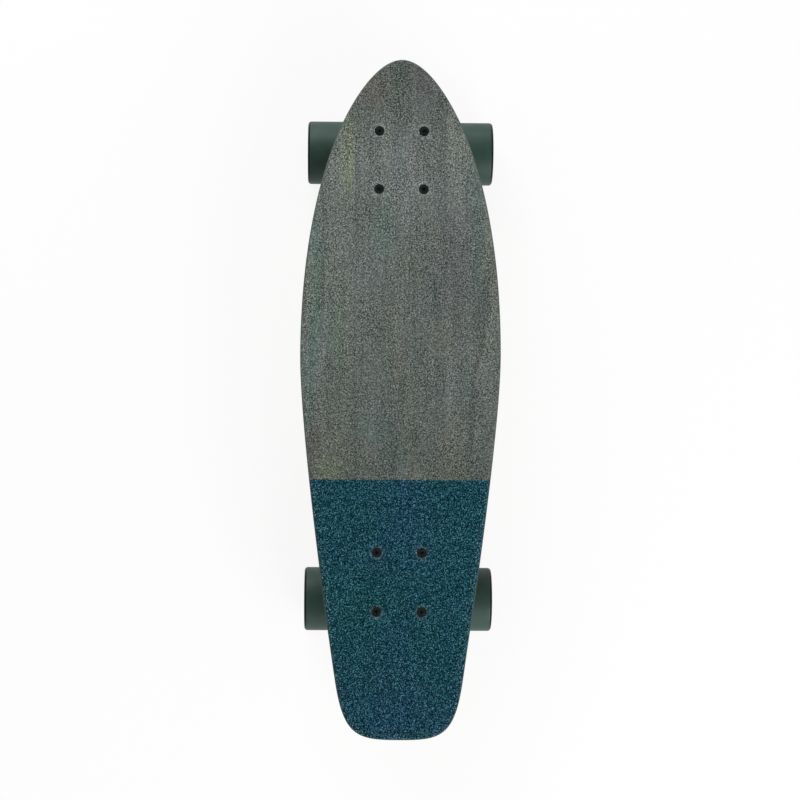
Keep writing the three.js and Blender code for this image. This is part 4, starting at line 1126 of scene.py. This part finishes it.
# Bearings: ground steel outer races, two pressed into each core.
# Dished rubber shields are snapped into both faces of a race and hide the balls.
bearing_radius, shield_gap, shield_edge, shield_recess = 0.011, 0.0005, 0.0093, 0.00035
race_ease, shield_ease = 0.0005, 0.0004

shield = Finish("bearing_shield")
shield_cloud = shield.noise(700.0)
shield.mottled(shield_cloud, (0.018, 0.020, 0.022), (0.030, 0.033, 0.035), least=0.40, most=0.56)
shield.bumped(shield_cloud, depth=0.00003)

shield_lip = race_radius + shield_gap
middle_edge, snapped_edge = (shield_lip + shield_edge) / 2, shield_edge + seat_gap
low_face, high_face = shoulder + shield_recess, race_end - shield_recess
seal = [(shield_lip, low_face), (middle_edge, low_face + shield_recess), (snapped_edge, low_face)]
seal += [(snapped_edge, high_face), (middle_edge, high_face - shield_recess), (shield_lip, high_face)]
race = rectangle(shield_edge, bearing_radius - seat_gap, shoulder, race_end)
bearing = joined(turned_ring(race, race_ease), turned_ring(seal, shield_ease))
for face in bearing.faces:
    farthest = max(math.hypot(*vertex.co.xy) for vertex in face.verts)
    face.material_index = int(farthest < snapped_edge + seat_gap)
for which, turn in (("outer", Matrix.Identity(4)), ("inner", upside_down)):
    on_wheels(f"shielded_bearing_{which}", moved(bearing, turn), [zinc, shield], "bearing_steel",
              f"bearing_{which}")


# Cores: hard moulded hubs, flared at both ends and nearly black.
# The bearings press into them from both sides, and the tyres are cast round them.
core_radius, core_shoulder_radius, core_mouth_radius = 0.018, 0.0096, 0.015
wheel_half, dish_depth = 0.0225, 0.0055
core_half = wheel_half - dish_depth
mouth_ease, mouth_drop, seat_flare, seat_step, core_ease = 0.0006, 0.0008, 0.0007, 0.0006, 0.00025

core_plastic = Finish("moulded_core")
flow = core_plastic.noise(110.0, detail=4.0, bend=1.5)
core_plastic.mottled(flow, (0.010, 0.014, 0.014), (0.020, 0.026, 0.025), least=0.32, most=0.5)
core_plastic.bumped(core_plastic.noise(1500.0), depth=0.00003)

core = [(core_shoulder_radius, shoulder), (bearing_radius, shoulder), (bearing_radius, race_end)]
core += [(bearing_radius + seat_flare, race_end + seat_step)]
core += [(core_mouth_radius - mouth_ease, core_half - mouth_drop), (core_mouth_radius, core_half)]
core = turned_ring(mirrored([*core, (core_radius, core_half)]), core_ease, steps=2, sides=96)
on_wheels("moulded_core", core, [core_plastic], "core_plastic", "core")


# Tyres: urethane poured round the core, with rounded lips and glossy dished sides as they leave the mould.
# The tread is ground true, which leaves it satin.
# The lips and sides are coloured far darker than the tread: partly the glossy unground urethane, partly
# painted shade of the tyre's outer face.
lip_round, face_radius, ground_edge = 0.003, 0.022, 0.0002
face_ease, face_drop, root_ease, root_rise, dish_ease = 0.0006, 0.0012, 0.0008, 0.0006, 0.0006
tread_radius = sum(corner.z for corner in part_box("front_axle")) / 2

urethane = Finish("satin_urethane", Specular_IOR_Level=0.3)
dust = urethane.noise(900.0, detail=4.0)
pour = urethane.noise(45.0, detail=3.0, bend=0.8)
pour = urethane.ramp(pour, (0.3, (0.019, 0.048, 0.038)), (0.7, (0.026, 0.060, 0.049)))
urethane.coloured(urethane.mixed(urethane.ramp(dust, (0.55, 0.0), (0.75, 0.35)), pour, (0.050, 0.080, 0.070)))
urethane.roughened(dust, least=0.44, most=0.62)
urethane.bumped(urethane.noise(2200.0), depth=0.00003)

# Lips and sides: dark glossy urethane, darkened further as painted shade of the outer face.
lip_gloss_and_painted_shade = Finish("unground_urethane", Specular_IOR_Level=0.06)
depths = lip_gloss_and_painted_shade.noise(60.0, detail=3.0, bend=0.8)
lip_gloss_and_painted_shade.mottled(depths, (0.003, 0.008, 0.006), (0.005, 0.012, 0.009), least=0.24, most=0.36)

lip = arc((tread_radius - lip_round, wheel_half - lip_round), lip_round, 0, 90, steps=9)
side_dish = [(face_radius, wheel_half), (face_radius - face_ease, wheel_half - face_drop)]
side_dish += [(core_radius + root_ease, core_half + root_rise), (core_radius + seat_gap, core_half)]
upper = [(tread_radius, (wheel_half - lip_round) / 2), *lip, *eased(side_dish, dish_ease)]
tyre = mirrored(upper)
tyre.insert(len(upper), (tread_radius, 0))
tyre = turned(tyre, sides=144, ring=True)
for face in tyre.faces:
    nearest = min(math.hypot(*vertex.co.xy) for vertex in face.verts)
    face.material_index = int(nearest < tread_radius - ground_edge)
on_wheels("poured_tyre", tyre, [urethane, lip_gloss_and_painted_shade], "wheel_urethane", "tyre")


# Studio: a plain pale floor that whitens with distance, and soft lamps to both sides of the view.
# The camera looks down as the photograph's does.
floor_half, floor_colour, floor_show = 12.0, (0.92, 0.92, 0.92, 1), 0.86
fade_start, fade_end = 0.5, 1.6
ceiling_level, horizon_level, ceiling_start = 0.30, 1.0, 0.8
lamp_size, lamp_height = 1.4, 1.0
lamps = {"lamp_ahead": (-0.6, 1.9, 33.0), "lamp_behind": (1.1, -1.7, 42.0)}
lens_length, sensor_width = 98.08, 36.0
camera_place, camera_turn = (-0.04634, -0.12293, 2.08991), (3.4114, -1.342, 0.3295)

paper = Finish("pale_floor", Base_Color=floor_colour, Roughness=0.9)
ray = paper.step("LightPath")
seen = paper.math("MAXIMUM", ray["Is Camera Ray"], ray["Is Glossy Ray"])
seen = paper.math("MAXIMUM", seen, ray["Is Transmission Ray"])
distance = paper.step("VectorMath", paper.place, settings={"operation": "LENGTH"})["Value"]
level = paper.math("MULTIPLY", seen, paper.spread(distance, fade_start, fade_end, floor_show))
shaded = paper.tree.nodes["Principled BSDF"].outputs[0]
mixed = paper.step("MixShader", level, shaded, paper.step("Emission")[0])[0]
paper.tree.links.new(mixed, paper.tree.nodes["Material Output"].inputs["Surface"])
square = bmesh.new()
bmesh.ops.create_grid(square, x_segments=1, y_segments=1, size=floor_half)
floor = bare_object("floor", square)
floor.data.materials.append(paper.material)

world = bpy.data.worlds.new("soft_room")
world.use_nodes = True
room = world.node_tree.nodes["Background"].inputs
room["Color"].default_value = (1.0, 1.0, 1.0, 1)
direction = step_in(world.node_tree, "ShaderNodeTexCoord")["Generated"]
upward = step_in(world.node_tree, "ShaderNodeSeparateXYZ", direction)["Z"]
fade = step_in(world.node_tree, "ShaderNodeMapRange", upward, 0, ceiling_start, horizon_level, ceiling_level,
               settings=Finish.smooth)["Result"]
world.node_tree.links.new(fade, room["Strength"])
bpy.context.scene.world = world

for name, (aside, along, power) in lamps.items():
    lamp = bpy.data.lights.new(name, "AREA")
    lamp.shape, lamp.size, lamp.energy = "SQUARE", lamp_size, power
    stand = bare_object(name, lamp)
    stand.location = (aside, along, lamp_height)
    stand.rotation_euler = stand.location.to_track_quat("Z", "Y").to_euler()

lens = bpy.data.cameras.new("camera")
lens.lens, lens.sensor_width = lens_length, sensor_width
camera = bare_object("camera", lens)
camera.location = camera_place
camera.rotation_euler = tuple(math.radians(turn) for turn in camera_turn)
bpy.context.scene.camera = camera
bpy.context.scene.view_settings.view_transform = "Standard"
